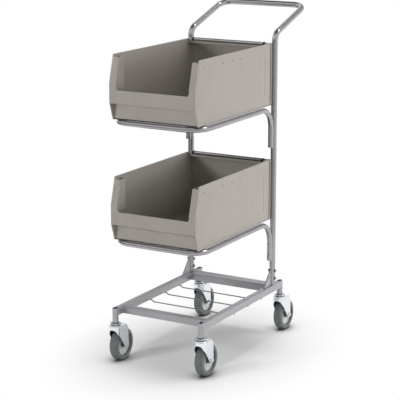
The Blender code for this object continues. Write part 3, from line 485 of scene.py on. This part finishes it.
def eased(mesh, width, segments, angle=30):
    """The mesh with its sharp edges rounded."""
    merged(mesh, 0.00001, True)
    piece = linked(mesh.name, mesh)
    mod = piece.modifiers.new("Round", "BEVEL")
    mod.limit_method = "ANGLE"
    mod.angle_limit = radians(angle)
    mod.width = width
    mod.segments = segments
    mod.miter_outer = "MITER_ARC"
    made = evaluated(piece)
    merged(made, 0.000003)
    return made


def turns(count):
    return [tau * k / count for k in range(count)]


def arc(centre, radius, start, end, steps):
    """Points on a circle from one angle to another, in degrees."""
    angles = [radians(start + (end - start) * i / steps) for i in range(steps + 1)]
    return [(centre[0] + radius * cos(a), centre[1] + radius * sin(a)) for a in angles]


def ring(bm, axis, outline, place):
    """An outline's points at a place along an axis. Along X the outline is (y, z), along Y (x, z)."""
    return [bm.verts.new({"Z": (a, b, place), "X": (place, a, b), "Y": (a, place, b)}[axis]) for a, b in outline]


def prism(name, outline, low, high, axis="Z"):
    """An outline extruded between two places along an axis."""
    bm = bmesh.new()
    first, last = ring(bm, axis, outline, low), ring(bm, axis, outline, high)
    bm.faces.new(first)
    bm.faces.new(list(reversed(last)))
    for i in range(len(outline)):
        j = (i + 1) % len(outline)
        bm.faces.new((first[i], last[i], last[j], first[j]))
    return mesh_from(name, bm)


def block(name, low, high):
    """A box between two corners, for Booleans."""
    return prism(name, [(low[0], low[1]), (high[0], low[1]), (high[0], high[1]), (low[0], high[1])], low[2], high[2])


def bend_path(left, radii, steps):
    """A path through corners on the left and back through the same on the right, with bends."""
    corners = [Vector(corner) for corner in left + [(-x, y, z) for x, y, z in reversed(left)]]
    points = corners[:1]
    for before, corner, after, radius in zip(corners, corners[1:], corners[2:], radii + radii[::-1]):
        back = (before - corner).normalized()
        ahead = (after - corner).normalized()
        half = back.angle(ahead) / 2
        centre = corner + (back + ahead).normalized() * radius / sin(half)
        first = corner + back * radius / tan(half) - centre
        turn = pi - 2 * half
        axis = back.cross(ahead)
        for i in range(steps + 1):
            points.append(centre + Matrix.Rotation(-turn * i / steps, 3, axis) @ first)
    return points + corners[-1:]


def sweep(bm, points, radius_at, sides, closed_ends=True, flip=False):
    """Sweeps a circle along a path with a frame that doesn't twist. Returns the end rings."""
    ways = []
    for i in range(len(points)):
        before = points[max(i - 1, 0)]
        after = points[min(i + 1, len(points) - 1)]
        ways.append((after - before).normalized())
    side = ways[0].orthogonal().normalized()
    rings = []
    for i, (point, way) in enumerate(zip(points, ways)):
        side = (side - way * side.dot(way)).normalized()
        other = way.cross(side)
        radius = radius_at(i) if callable(radius_at) else radius_at
        rings.append([bm.verts.new(point + radius * (cos(a) * side + sin(a) * other)) for a in turns(sides)])
    bridge(bm, rings, flip)
    if closed_ends:
        bm.faces.new(tuple(reversed(rings[0])))
        bm.faces.new(rings[-1])
    return rings[0], rings[-1]


def tube_mesh(name, points, radius, wall):
    """A tube with open ends, its inner skin and slightly broken end edges."""
    bm = bmesh.new()
    broken, sides = 0.0003, 40
    way = (points[1] - points[0]).normalized()
    back = (points[-2] - points[-1]).normalized()
    path = [points[0], points[0] + way * broken] + points[1:-1] + [points[-1] + back * broken, points[-1]]
    ends = (0, len(path) - 1)
    outer = sweep(bm, path, lambda i: radius - (broken if i in ends else 0), sides, False)
    inner = sweep(bm, path, lambda i: radius - wall + (broken / 2 if i in ends else 0), sides, False, True)
    for rings in zip(outer, inner):
        bridge(bm, rings)
    return mesh_from(name, bm)


def turned(name, profile, steps, axis="Z", closed=False):
    """A profile of (radius, height) pairs turned about Z or X."""
    bm = bmesh.new()
    rings = []
    for r, z in profile:
        rings.append(ring(bm, axis, [(r * cos(a), r * sin(a)) for a in (turns(steps) if r else [0.0])], z))
    if closed:
        rings.append(rings[0])
    for first, second in zip(rings, rings[1:]):
        if len(first) == len(second):
            bridge(bm, (first, second))
            continue
        for k in range(steps):
            n = (k + 1) % steps
            bm.faces.new((first[0], second[n], second[k]) if len(first) == 1 else (first[k], first[n], second[0]))
    return mesh_from(name, bm)


def rod(name, radius, low, high, steps, axis="Z"):
    return turned(name, [(0, low), (radius, low), (radius, high), (0, high)], steps, axis)


def joined(name, *meshes):
    """Several meshes as one."""
    bm = bmesh.new()
    for mesh in meshes:
        bm.from_mesh(mesh)
    return written(name, bm)


def moved(x=0, y=0, z=0):
    return Matrix.Translation((x, y, z))


def reach(sx, inner, outer):
    """The low and the high end of a stretch on one side of the middle."""
    return sorted((sx * inner, sx * outer))


def rounded_outline(width, height, corner):
    """A rectangle with round corners."""
    points = []
    for sx, sy, start in ((1, 1, 0), (-1, 1, 90), (-1, -1, 180), (1, -1, 270)):
        points += arc((sx * (width / 2 - corner), sy * (height / 2 - corner)), corner, start, start + 90, 6)
    return points


def rail_mesh(name, width, half, axis):
    """A rectangular tube with round corners, as long on both sides of the middle."""
    outer = rounded_outline(width, RAIL_HEIGHT, RAIL_CORNER)
    inner = rounded_outline(width - 2 * RAIL_WALL, RAIL_HEIGHT - 2 * RAIL_WALL, RAIL_CORNER - RAIL_WALL)
    bm = bmesh.new()
    rings = [ring(bm, axis, *pair) for pair in ((outer, -half), (outer, half), (inner, half), (inner, -half))]
    bridge(bm, rings + rings[:1])
    return mesh_from(name, bm)


# ---- frame

def weld_path(bm, points, size, seed):
    """A weld bead: a low ripple of overlapping drops along a path."""
    length = sum((b - a).length for a, b in zip(points, points[1:]))
    count = max(4, int(length / 0.0007))
    walk = []
    for i in range(count + 1):
        left = length * i / count
        for a, b in zip(points, points[1:]):
            run = (b - a).length
            if left <= run + 1e-9:
                walk.append(a + (b - a) * min(1.0, left / run))
                break
            left -= run
    def radius(i):
        ripple = 0.10 * sin(i * 2.1 + seed) + 0.05 * sin(i * 0.73 + 2.3 * seed)
        fade = min(1.0, (i + 0.6) / 2.0, (count - i + 0.6) / 2.0)
        return size * (0.95 + ripple) * (0.45 + 0.55 * fade)
    sweep(bm, walk, radius, 10)


def make_frame():
    middle = (RAIL_TOP + RAIL_BOTTOM) / 2
    for side, sx in SIDES:
        mesh = shifted(rail_mesh("rail", RAIL_WIDTH, HALF_BASE, "Y"), moved(sx * HALF_TRACK, 0, middle))
        bores = [(shifted(rod("bore", SOCKET_RADIUS - 0.0003, -0.02, 0.02, 48),
                          moved(sx * HALF_TRACK, sy * HALF_BASE, middle)), CUT) for sy in (-1, 1)]
        place_piece("rail_" + side, combine(mesh, bores), PAINT, "frame", ["side_rail_" + side])
    span = HALF_TRACK - RAIL_WIDTH / 2 - 0.0001
    for name, y, depth, node in (("rail_front", FRONT_RAIL_Y, RAIL_WIDTH, "front_cross_rail"),
                                 ("rail_rear", REAR_RAIL_Y, REAR_RAIL_DEPTH, "rear_cross_rail")):
        mesh = shifted(rail_mesh(name, depth, span, "X"), moved(0, y, middle))
        place_piece(name, mesh, PAINT, "frame", [node])

    lip = 0.0004
    inner = SOCKET_RADIUS - SOCKET_WALL
    profile = [(SOCKET_RADIUS, RAIL_TOP - lip), (SOCKET_RADIUS, SOCKET_BOTTOM + lip),
               (SOCKET_RADIUS - lip, SOCKET_BOTTOM), (inner, SOCKET_BOTTOM), (inner, RAIL_TOP - lip),
               (inner + lip, RAIL_TOP), (SOCKET_RADIUS - lip, RAIL_TOP)]
    for name, (x, y) in CASTERS.items():
        place_piece("socket_" + name, turned("socket", profile, 48, closed=True), TUBE_PAINT, "frame",
                    ["caster_socket_" + name], (x, y, 0))

    # Posts and push handle
    foot = RAIL_TOP + GAP
    corners = [(-HALF_TRACK, POST_Y, foot), (-HALF_TRACK, POST_Y, POST_BEND_HEIGHT),
               (-HALF_TRACK, HANDLE_Y, HANDLE_HEIGHT)]
    mesh = tube_mesh("push_handle", bend_path(corners, (POST_BEND, HANDLE_BEND), 14), POST_RADIUS, POST_WALL)
    place_piece("push_handle", mesh, TUBE_PAINT, "frame", ["handle_frame"])

    # Trays
    for level, height in TRAY_HEIGHTS.items():
        low = height - TRAY_LEG
        corners = [(-TRAY_HALF, TRAY_LEG_Y, low), (-TRAY_HALF, TRAY_LEG_Y, height), (-TRAY_HALF, -TRAY_FRONT, height)]
        points = bend_path(corners, (TRAY_LEG_BEND, TRAY_CORNER_BEND), 16)
        mesh = tube_mesh("tray", points, TRAY_RADIUS, TRAY_WALL)
        place_piece("tray_" + level, mesh, TUBE_PAINT, "frame", ["tray_frame_" + level])

    # Gussets before the posts
    nose, heel, top = GUSSET_NOSE, GUSSET_HEEL, foot + GUSSET_HEIGHT
    outline = [(nose, foot), (heel, foot), (heel, top), (heel - GUSSET_EDGE, top), (nose, foot + GUSSET_EDGE)]
    for side, sx in SIDES:
        plate = eased(prism("gusset", outline, -GUSSET_HALF, GUSSET_HALF, "X"), 0.0005, 3)
        even(place_piece("gusset_" + side, plate, PAINT, "frame", ["post_gusset_" + side], (sx * HALF_TRACK, 0, 0)))


def make_welds():
    """The weld beads of the frame, painted with it."""
    bm = bmesh.new()
    seeds = itertools.count(1.0, 1.7)

    def bead(size, *points):
        weld_path(bm, [Vector(point) for point in points], size, next(seeds))

    for side, sx in SIDES:
        x = sx * HALF_TRACK
        inside = sx * (HALF_TRACK - RAIL_WIDTH / 2)
        for y, depth in ((FRONT_RAIL_Y, RAIL_WIDTH), (REAR_RAIL_Y, REAR_RAIL_DEPTH)):
            for face in (-1, 1):
                edge = y + face * depth / 2
                bead(0.0013, (inside, edge, RAIL_BOTTOM + 0.003), (inside, edge, RAIL_TOP - 0.003))
            for z in (RAIL_TOP, RAIL_BOTTOM):
                bead(0.0010, (inside, y - depth / 2 + 0.002, z), (inside, y + depth / 2 - 0.002, z))
        for sy, start in ((-1, 35), (1, 215)):
            for z in (RAIL_TOP - 0.0003, RAIL_BOTTOM + 0.0001):
                ring = arc((x, sy * HALF_BASE), SOCKET_RADIUS + 0.0002, start, start + 110, 12)
                bead(0.0010, *((a, b, z) for a, b in ring))
        for way in (-1, 1):
            place, z = x + way * GUSSET_HALF, RAIL_TOP + GAP
            bead(0.0013, (place, GUSSET_NOSE + 0.003, z), (place, GUSSET_HEEL - 0.001, z))
        for y in WIRE_PLACES:
            for way in (-1, 1):
                place, z = y + way * 0.0017, RAIL_BOTTOM - 0.0004
                bead(0.0011, (x - sx * 0.006, place, z), (x + sx * 0.0055, place, z))
    place_piece("weld_beads", mesh_from("weld_beads", bm), TUBE_PAINT, "frame")


def hex_bolt(name, radius, head, low, high, shank, washer):
    """A hexagon head with a chamfered crown on +X from 0, a shank from low to high and a washer below 0."""
    bm = bmesh.new()
    rings = []
    for z, share in ((0.0, 0.93), (0.06 * head, 1.0), (head - 0.16 * head, 1.0), (head, 0.86)):
        rings.append(ring(bm, "X", [(radius * share * cos(a), radius * share * sin(a)) for a in turns(6)], z))
    bridge(bm, rings)
    bm.faces.new(rings[0])
    bm.faces.new(rings[-1])
    chamfer, broken = 0.0004, 0.0002
    outer, thick = washer
    return joined(name, eased(mesh_from(name, bm), 0.00025, 2, 20),
                  turned(name, [(0, low), (shank - chamfer, low), (shank, low + chamfer), (shank, high),
                                (0, high)], 28, "X"),
                  turned(name, [(shank, 0), (shank, -thick), (outer - broken, -thick), (outer, -thick + broken),
                                (outer, -broken), (outer - broken, 0)], 36, "X", closed=True))


def bolt_mesh(name, seat, radius, shank, washer, head, nut):
    """A bolt and its nut on something 2 * seat wide. Head: height, lift. Nut: height, sink, end of the shank."""
    (head, lift), (nut, sink, end) = head, nut
    bolt = hex_bolt(name, radius, head, -2 * seat - 0.001, 0.001, shank, washer)
    other = hex_bolt(name, radius, nut, -0.001, end, shank, washer)
    other = shifted(other, moved(-seat + sink) @ Matrix.Rotation(pi, 4, "Z"))
    return joined(name, shifted(bolt, moved(seat + lift)), other)


def make_fasteners():
    bolt = bolt_mesh("post_bolt", POST_RADIUS + GAP, 0.0053, 0.003, (0.0055, 0.0008), (0.0034, 0.0006),
                     (0.0038, 0.0002, 0.0052))
    for side, sx in SIDES:
        for level, z in zip(("lower", "upper"), BOLT_HEIGHTS):
            name = side + "_" + level
            mesh = shifted(bolt.copy(), Matrix.Rotation(0 if sx > 0 else pi, 4, "Z"))
            place_piece("bolt_" + name, mesh, BOLT_STEEL, "frame", ["post_bolt_" + name],
                        (sx * HALF_TRACK, POST_Y, RAIL_TOP + z), 30)

    # Cross recessed pan head screws in the tray legs
    head, height = 0.0042, 0.0028
    crown = ((0.30, 0.985), (0.55, 0.93), (0.78, 0.78), (0.93, 0.50), (1.0, 0.18), (0.98, 0.0))
    profile = [(0, height)] + [(head * s, height * h) for s, h in crown]
    profile += [(0.0022, 0), (0.0022, -0.022), (0, -0.022)]
    mesh = turned("tray_screw", profile, 32)
    slots = [(block("slot", (-0.0005, -0.0019, 0.0013), (0.0005, 0.0019, 0.004)), CUT),
             (block("slot", (-0.0019, -0.00052, 0.00131), (0.0019, 0.00052, 0.004)), CUT)]
    mesh = combine(mesh, slots)
    for level, height in TRAY_HEIGHTS.items():
        for side, sx in SIDES:
            for row, z, spin in zip(("lower", "upper"), SCREW_HEIGHTS, (20, 65)):
                made = shifted(mesh.copy(), Matrix.Rotation(radians(spin + 30 * sx), 4, "Z"))
                made.transform(Matrix.Rotation(pi / 2, 4, "X"))
                place = (sx * TRAY_HALF, TRAY_LEG_Y - TRAY_RADIUS - GAP, height - TRAY_LEG + z)
                name = level + "_" + side + "_" + row
                place_piece("screw_" + name, made, BOLT_STEEL, "frame", ["tray_screw_" + name], place, 30)


def make_wires():
    end, inner = HALF_TRACK + RAIL_WIDTH / 2 - 0.003, HALF_TRACK - RAIL_WIDTH / 2
    top = RAIL_BOTTOM - GAP - WIRE_RADIUS
    low = top - WIRE_SINK
    corners = [(-end, 0, top), (-inner, 0, top), (-inner + WIRE_SLANT, 0, low)]
    points = bend_path(corners, (WIRE_BEND, WIRE_BEND), 6)
    for number, y in zip("1234", WIRE_PLACES):
        bm = bmesh.new()
        sweep(bm, points, WIRE_RADIUS, 20)
        place_piece("wire_" + number, mesh_from("wire", bm), WIRE_STEEL, "frame", ["shelf_wire_" + number], (0, y, 0))


# ---- bins

def bin_mesh():
    """The open-front bin. Its origin lies on the tray."""
    half, front, rear = BIN_HALF, -BIN_FRONT, BIN_REAR
    inside, toe, top = half - BIN_WALL, front + TOE_SETBACK, BIN_HEIGHT + OVER
    outside = [(front + FOOT_SLOPE, 0), (rear, 0), (rear, BIN_HEIGHT), (front + LEAN, BIN_HEIGHT),
               (front, SKIRT_TOP), (front, SKIRT_BOTTOM)]
    body = prism("bin", outside, -half, half, "X")
    slope = LEAN / (BIN_HEIGHT - SKIRT_TOP)
    face = front + BIN_WALL
    past = face + slope * (top - SKIRT_TOP)
    ledge = SKIRT_BOTTOM + BIN_WALL
    hollow = [(toe + BIN_WALL, BIN_WALL), (rear - BIN_WALL, BIN_WALL), (rear - BIN_WALL, top), (past, top),
              (face, SKIRT_TOP), (face, ledge), (toe + BIN_WALL, ledge)]
    steps = []

    def cut(cutter):
        steps.append((cutter, CUT))

    cut(prism("hollow", hollow, -inside, inside, "X"))

    pillar_rear = front + PILLAR_DEPTH
    pillar_top = BIN_HEIGHT - PILLAR_DROP
    skin = BIN_WALL / 2
    lean_at_top = slope * (pillar_top - SKIRT_TOP)
    pillar = [(toe + skin, skin), (pillar_rear, skin), (pillar_rear, pillar_top),
              (front + skin + lean_at_top, pillar_top), (front + skin, SKIRT_TOP),
              (front + skin, SKIRT_BOTTOM + skin), (toe + skin, SKIRT_BOTTOM + skin)]
    pocket = [(face, ledge), (pillar_rear - BIN_WALL, ledge), (pillar_rear - BIN_WALL, top), (past, top),
              (face, SKIRT_TOP)]
    inner = half - PILLAR_WIDTH + GAP
    for sx in (-1, 1):
        steps.append((prism("pillar", pillar, *reach(sx, half - skin, inner), "X"), ADD))
    cut(block("pillar_top", (-inside - GAP, front - OVER, pillar_top - GAP),
              (inside + GAP, pillar_rear + OVER, top)))
    for sx in (-1, 1):
        middle = sx * (half - GAP + inner) / 2
        room = (half - GAP - inner - 2 * BIN_WALL) / 2
        cut(prism("pocket", pocket, middle - room, middle + room, "X"))
    edge, corner = half - PILLAR_WIDTH, MOUTH_CORNER
    mouth = [(edge, top), (-edge, top)] + arc((-edge + corner, SILL + corner), corner, 180, 270, 12)
    mouth += arc((edge - corner, SILL + corner), corner, 270, 360, 12)
    cut(prism("mouth", mouth, front - OVER, front + LEAN + BIN_WALL + OVER, "Y"))
    cut(block("recess", (-inside, front - OVER, -OVER), (inside, toe, SKIRT_BOTTOM)))
    cut(block("foot_step", (-inside, toe - OVER, -OVER), (inside, toe + FOOT_STEP_DEPTH, FOOT_STEP)))
    for sx in (-1, 1):
        low, high = reach(sx, half - EDGE_STEP_DEPTH, half + OVER)
        cut(block("edge_step", (low, front - OVER, -OVER), (high, rear + OVER, EDGE_STEP)))
    groove, rib = rear - GROOVE_SETBACK, rear - RIB_SETBACK
    for sx in (-1, 1):
        low, high = reach(sx, half - GROOVE_DEPTH, half + OVER)
        cut(block("groove", (low, groove - GROOVE_WIDTH, -OVER), (high, groove, top)))
        low, high = reach(sx, half - RIB_DEPTH, half + OVER)
        cut(block("rib", (low, rib, RIB_LOW), (high, rib + RIB_WIDTH, RIB_HIGH)))
    trough = BAR_LENGTH / 2 + CAP_LENGTH + 2 * GAP
    bar_y, bar_z = rear - BAR_SETBACK, BIN_HEIGHT - BAR_DROP
    steps.append((block("lip", (-half + skin, rear - LIP_DEPTH, BIN_HEIGHT - LIP_HEIGHT),
                        (half - skin, rear - skin, BIN_HEIGHT - GAP)), ADD))
    cut(block("lip_step", (-trough, rear - LIP_DEPTH - OVER, BIN_HEIGHT - LIP_STEP), (trough, bar_y, top)))
    cut(shifted(rod("trough", CAP_RADIUS + GAP, -trough, trough, 36, "X"), moved(0, bar_y, bar_z)))
    # Small round marks under the rim of each side wall
    for sx in (-1, 1):
        for y, z in DOTS:
            dot = rod("dot", DOT_RADIUS, *reach(sx, half - DOT_DEPTH, half + 0.002), 24, "X")
            cut(shifted(dot, moved(0, front + y, BIN_HEIGHT - z)))
    return eased(combine(body, steps), 0.0007, 3, 28)


def make_bins():
    shell = bin_mesh()
    bar_y, bar_z = BIN_REAR - BAR_SETBACK, BIN_HEIGHT - BAR_DROP
    chamfer, end = 0.0006, BAR_LENGTH / 2
    bar = turned("bar", [(0, -end), (BAR_RADIUS - chamfer, -end), (BAR_RADIUS, -end + chamfer),
                         (BAR_RADIUS, end - chamfer), (BAR_RADIUS - chamfer, end), (0, end)], 40, "X")
    h, r = CAP_LENGTH / 2, CAP_RADIUS
    cap = turned("cap", [(0, -h), (r - 0.0008, -h), (r - 0.0002, -h + 0.0003), (r, -h + 0.0009), (r, h - 0.0003),
                         (r - 0.0003, h), (0, h)], 36, "X")
    for level, height in TRAY_HEIGHTS.items():
        body = level + "_bin"
        floor = height + TRAY_RADIUS + GAP
        even(place_piece("shell_" + level, shell.copy(), PLASTIC, body, ["bin_" + level], (0, 0, floor)))
        place_piece("bar_" + level, bar.copy(), BAR_STEEL, body, ["carry_bar_" + level], (0, bar_y, floor + bar_z))
        for side, sx in SIDES:
            mesh = shifted(cap.copy(), Matrix.Rotation(0 if sx < 0 else pi, 4, "Z"))
            place_piece("cap_" + level + "_" + side, mesh, BLACK, body, ["bar_cap_" + level + "_" + side],
                        (sx * (end + GAP + h), bar_y, floor + bar_z))


# ---- casters

def fork_mesh():
    """The pressed fork: a round-fronted crown with its race, and two cheeks. Its origin is under the stem."""
    brow_out, brow_down = (0.0010, 0.0050, 0.0110), (0.0101, 0.0151, 0.0276)
    fall = degrees(atan2(CROWN_TOP - brow_down[-1] - WHEEL_RADIUS, TRAIL - FORK_END + FORK_RADIUS - brow_out[-1]))
    brow = [(-FORK_RADIUS + y, CROWN_TOP - z) for y, z in zip(brow_out, brow_down)]
    end = arc((TRAIL, WHEEL_RADIUS), FORK_END, 270 - fall, 360, 14)
    rear = TRAIL + FORK_END
    side = ([(-FORK_RADIUS - OVER, CROWN_TOP), (-FORK_RADIUS - OVER, CROWN_TOP - 0.0100)] + brow + end
            + [(rear, CROWN_TOP - 0.015), (rear - 0.008, CROWN_TOP)])
    body = prism("fork", side, -FORK_RADIUS - OVER, FORK_RADIUS + OVER, "X")
    def plan(radius, back):
        return arc((0, 0), radius, -180, 0, 40) + [(radius, back), (-radius, back)]
    steps = [(prism("plan", plan(FORK_RADIUS, rear + OVER), -OVER, CROWN_TOP + OVER), "INTERSECT"),
             (prism("inside", plan(FORK_RADIUS - FORK_WALL, rear + 2 * OVER), -OVER, CROWN_TOP - CROWN_THICKNESS),
              CUT)]
    race = ((0, RACE_HEIGHT), (0.0178, RACE_HEIGHT), (0.0188, 0.0036), (0.019, 0.0028), (0.019, -0.0015),
            (0, -0.0015))
    hole = rod("axle_hole", AXLE_BORE, -0.03, 0.03, 28, "X")
    steps += [(turned("race", [(r, CROWN_TOP + z) for r, z in race], 48), ADD),
              (rod("hole", 0.0058, CROWN_TOP + 0.01, CROWN_TOP - 0.01, 32), CUT),
              (shifted(hole, moved(0, TRAIL, WHEEL_RADIUS)), CUT)]
    return eased(combine(body, steps), 0.0008, 3, 32)


def stem_mesh():
    """The stem in its socket with the upper half of the swivel head, and its rivet below the crown."""
    profile = []
    for base, points in (
            (RAIL_TOP - 0.012, ((0, 0), (0.0068, 0), (0.0080, -0.0012))),
            (SOCKET_BOTTOM - GAP, ((0.0080, 0), (0.0166, 0), (0.0171, -0.0005), (0.0172, -0.0012), (0.0172, -0.0036),
                                   (0.0168, -FLANGE_HEIGHT), (0.0150, -FLANGE_HEIGHT))),
            (CROWN_TOP + RACE_HEIGHT + GAP, ((0.0150, 0), (0.0055, 0))),
            (CROWN_TOP - CROWN_THICKNESS - GAP, ((0.0055, 0), (0.0080, 0), (0.0080, -0.0012), (0.0070, -0.0022),
                                                 (0.0045, -0.0030), (0, -0.0030)))):
        profile += [(r, base + z) for r, z in points]
    return turned("stem", profile, 48)


def wheel_meshes():
    """The wheel's centre and its tyre, about X."""
    hub_half = FORK_RADIUS - FORK_WALL - GAP
    rim_in = TYRE_BORE - 0.0030
    half = [(TYRE_BORE, 0.0082), (TYRE_BORE - 0.0003, 0.0085), (rim_in + 0.0004, 0.0085), (rim_in, 0.0081),
            (rim_in - 0.0007, 0.0070), (rim_in - 0.0022, 0.0065), (0.0135, 0.0065), (0.0118, 0.0070),
            (0.0108, 0.0085), (0.0105, 0.0110), (0.0105, hub_half - 0.0006), (0.0099, hub_half),
            (AXLE_BORE, hub_half)]
    profile = [(r, -z) for r, z in half] + list(reversed(half))
    centre = turned("wheel_centre", profile, 72, "X", closed=True)
    side = ((0, 0.0010), (0.0004, 0.0003), (0.0012, 0), (0.0052, 0), (0.0056, 0.00035), (0.0062, 0.00035),
            (0.0066, 0))
    profile = [(TYRE_BORE + 0.0001 + r, TYRE_HALF - z) for r, z in side]
    profile += arc((WHEEL_RADIUS - TYRE_ROUND, TYRE_HALF - TYRE_ROUND), TYRE_ROUND, 90, 0, 10)
    profile += [(r, -z) for r, z in reversed(profile)]
    return centre, turned("tyre", profile, 96, "X", closed=True)


def make_casters():
    fork, stem = fork_mesh(), stem_mesh()
    axle = bolt_mesh("axle", FORK_RADIUS + GAP, 0.0070, 0.004, (0.0072, 0.0010), (0.0032, 0.0008),
                     (0.0044, 0.0001, 0.0054))
    centre, tyre = wheel_meshes()
    for name, (x, y) in CASTERS.items():
        hub = (x, y + TRAIL, WHEEL_RADIUS)
        place_piece("stem_" + name, stem.copy(), ZINC, "frame", ["caster_stem_" + name], (x, y, 0), 32)
        even(place_piece("forkhead_" + name, fork.copy(), ZINC, "swivel_" + name, ["fork_" + name], (x, y, 0), 32))
        place_piece("axle_" + name, axle.copy(), ZINC, "swivel_" + name, ["axle_bolt_" + name], hub, 30)
        place_piece("hub_" + name, centre.copy(), HUB, "wheel_" + name, ["wheel_centre_" + name], hub, 32)
        place_piece("tread_" + name, tyre.copy(), RUBBER, "wheel_" + name, ["tyre_" + name], hub, 40)


# ---- studio

def make_floor():
    """A pale floor that fades to the white background away from the cart, with painted shade where the parts stand on
    it.
    """
    bm = bmesh.new()
    bmesh.ops.create_grid(bm, x_segments=1, y_segments=1, size=15)
    mesh = written("floor", bm)
    floor = linked("floor", mesh)
    look = Look("floor_pale", 0.8, 0.0, 0.0)
    away = look.length(look.times(look.axis("X"), FADE_NARROW), look.plus(look.axis("Y"), FADE_SHIFT))
    far = look.span(away, FADE_START, FADE_END, FLOOR_GLOW, 1.0)
    # Painted contact shade: the floor darkens near the parts, by ambient occlusion
    close = look.node("AmbientOcclusion", Distance=CONTACT_REACH)
    close.samples = 16
    clear = look.span(close.outputs["AO"], 0.30, 0.98)
    look.put(look.mix(clear, (PAINTED_CONTACT_SHADE,) * 3, (FLOOR_TONE,) * 3), look.shader.inputs["Base Color"])
    glow = look.node("Emission", Color=(1, 1, 1, 1), Strength=1.0)
    look.blend(look.times(look.times(far, look.seen()), clear), look.shader.outputs[0], glow.outputs[0])
    mesh.materials.append(look.made)


def make_card():
    """A dark card round the front left of the studio, which shows in the gloss alone."""
    bm = bmesh.new()
    columns = []
    for i in range(CARD_STEPS + 1):
        a = radians(CARD_FROM + (CARD_TO - CARD_FROM) * i / CARD_STEPS)
        x, y = -CARD_RADIUS * sin(a), -CARD_RADIUS * cos(a)
        high = 0.65 + 1.05 * max(0.0, min(1.0, (30.0 - degrees(a)) / 40.0))
        columns.append((bm.verts.new((x, y, 0.0)), bm.verts.new((x, y, high))))
    layer = bm.loops.layers.uv.new("across")
    for i, (first, second) in enumerate(zip(columns, columns[1:])):
        face = bm.faces.new((first[0], second[0], second[1], first[1]))
        for loop, u in zip(face.loops, (i, i + 1, i + 1, i)):
            loop[layer].uv = (u / CARD_STEPS, 0.0)
    mesh = written("dark_card", bm)
    card = linked("dark_card", mesh)
    look = Look("dark_card", 1.0, 0.0, 0.0)
    across = look.node("UVMap")
    across.uv_map = "across"
    share = look.node("SeparateXYZ", Vector=across.outputs[0]).outputs["X"]
    rise = look.plus(look.span(share, 0.0, 0.22, 0.0, 0.45), look.span(share, 0.42, 0.64, 0.0, 0.45))
    fall = look.fall(share, 0.93, 1.0)
    clear = look.node("BsdfTransparent", Color=(1, 1, 1, 1))
    dark = look.node("BsdfDiffuse", Color=(0.04, 0.04, 0.045, 1))
    look.blend(look.times(rise, fall), clear.outputs[0], dark.outputs[0])
    mesh.materials.append(look.made)
    card.visible_camera = card.visible_diffuse = card.visible_shadow = card.visible_transmission = False


def make_world():
    """A white studio with a dim ceiling and the brightest wall on the right."""
    world = bpy.data.worlds.new("studio")
    bpy.context.scene.world = world
    world.use_nodes = True
    look = Network(world.node_tree, "Generated")
    height = look.axis("Z")
    lit = look.tree.nodes["Background"]
    lit.inputs["Color"].default_value = (1, 1, 1, 1)
    low = look.span(height, 0.10, 0.35, LOW_LIGHT, MIDDLE_LIGHT)
    high = look.span(height, 0.45, 0.75, MIDDLE_LIGHT, HIGH_LIGHT)
    band = look.times(look.span(height, 0.10, 0.35), look.fall(height, 0.45, 0.75))
    right = look.math("POWER", look.larger(look.dot(look.place, RIGHT_SIDE), 0.0), 2.0)
    right = look.times(look.times(right, band), RIGHT_WALL)
    plain = look.math("SUBTRACT", look.plus(low, high), MIDDLE_LIGHT)
    look.put(look.plus(plain, right), lit.inputs["Strength"])

    # The gloss sees dark patches and a small bright one, the camera sees white
    seen = look.node("Background", Color=(1, 1, 1, 1))
    gloss = look.span(look.dot(look.place, DARK_SIDE), 0.80, 0.94, 1.0, GLOSS_DARK)
    horizon = look.times(look.fall(height, 0.10, 0.30), look.span(look.dot(look.place, HORIZON_SIDE), 0.50, 0.85))
    gloss = look.times(gloss, look.span(horizon, 0.0, 1.0, 1.0, HORIZON_DARK, False))
    gloss = look.times(gloss, look.span(look.dot(look.place, BACK_SIDE), 0.80, 0.93, 1.0, BACK_DARK))
    gloss = look.times(gloss, look.span(look.dot(look.place, TOP_SIDE), 0.86, 0.96, 1.0, TOP_DARK))
    gloss = look.plus(gloss, look.span(look.dot(look.place, GLINT_SIDE), 0.982, 0.994, 0.0, GLINT))
    camera = look.node("LightPath").outputs["Is Camera Ray"]
    look.put(look.larger(camera, gloss), seen.inputs["Strength"])
    look.blend(look.seen(), lit.outputs[0], seen.outputs[0], "World Output")


def make_lights():
    """Softboxes that face the cart and don't show in its gloss."""
    for name, (place, size, power) in LAMPS.items():
        data = bpy.data.lights.new(name, "AREA")
        data.shape = "RECTANGLE"
        data.size, data.size_y = size
        data.energy = power
        made = linked(name, data)
        made.location = place
        made.rotation_euler = (LAMP_TARGET - Vector(place)).to_track_quat("-Z", "Y").to_euler()
        made.visible_glossy = False


def make_camera():
    data = bpy.data.cameras.new("photo_view")
    data.sensor_width = 36
    data.lens = LENS
    data.clip_end = 100
    camera = linked("photo_view", data)
    camera.location = CAMERA_PLACE
    camera.rotation_euler = (radians(90 - CAMERA_DOWN), 0, radians(CAMERA_TURN))
    bpy.context.scene.camera = camera


make_frame()
make_welds()
make_fasteners()
make_wires()
make_bins()
make_casters()
for node in ("post_stub_left", "post_stub_right"):
    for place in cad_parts[node].material_slots:
        place.material = BOLT_STEEL
bpy.context.scene.view_settings.view_transform = "Standard"
make_floor()
make_card()
make_world()
make_lights()
make_camera()
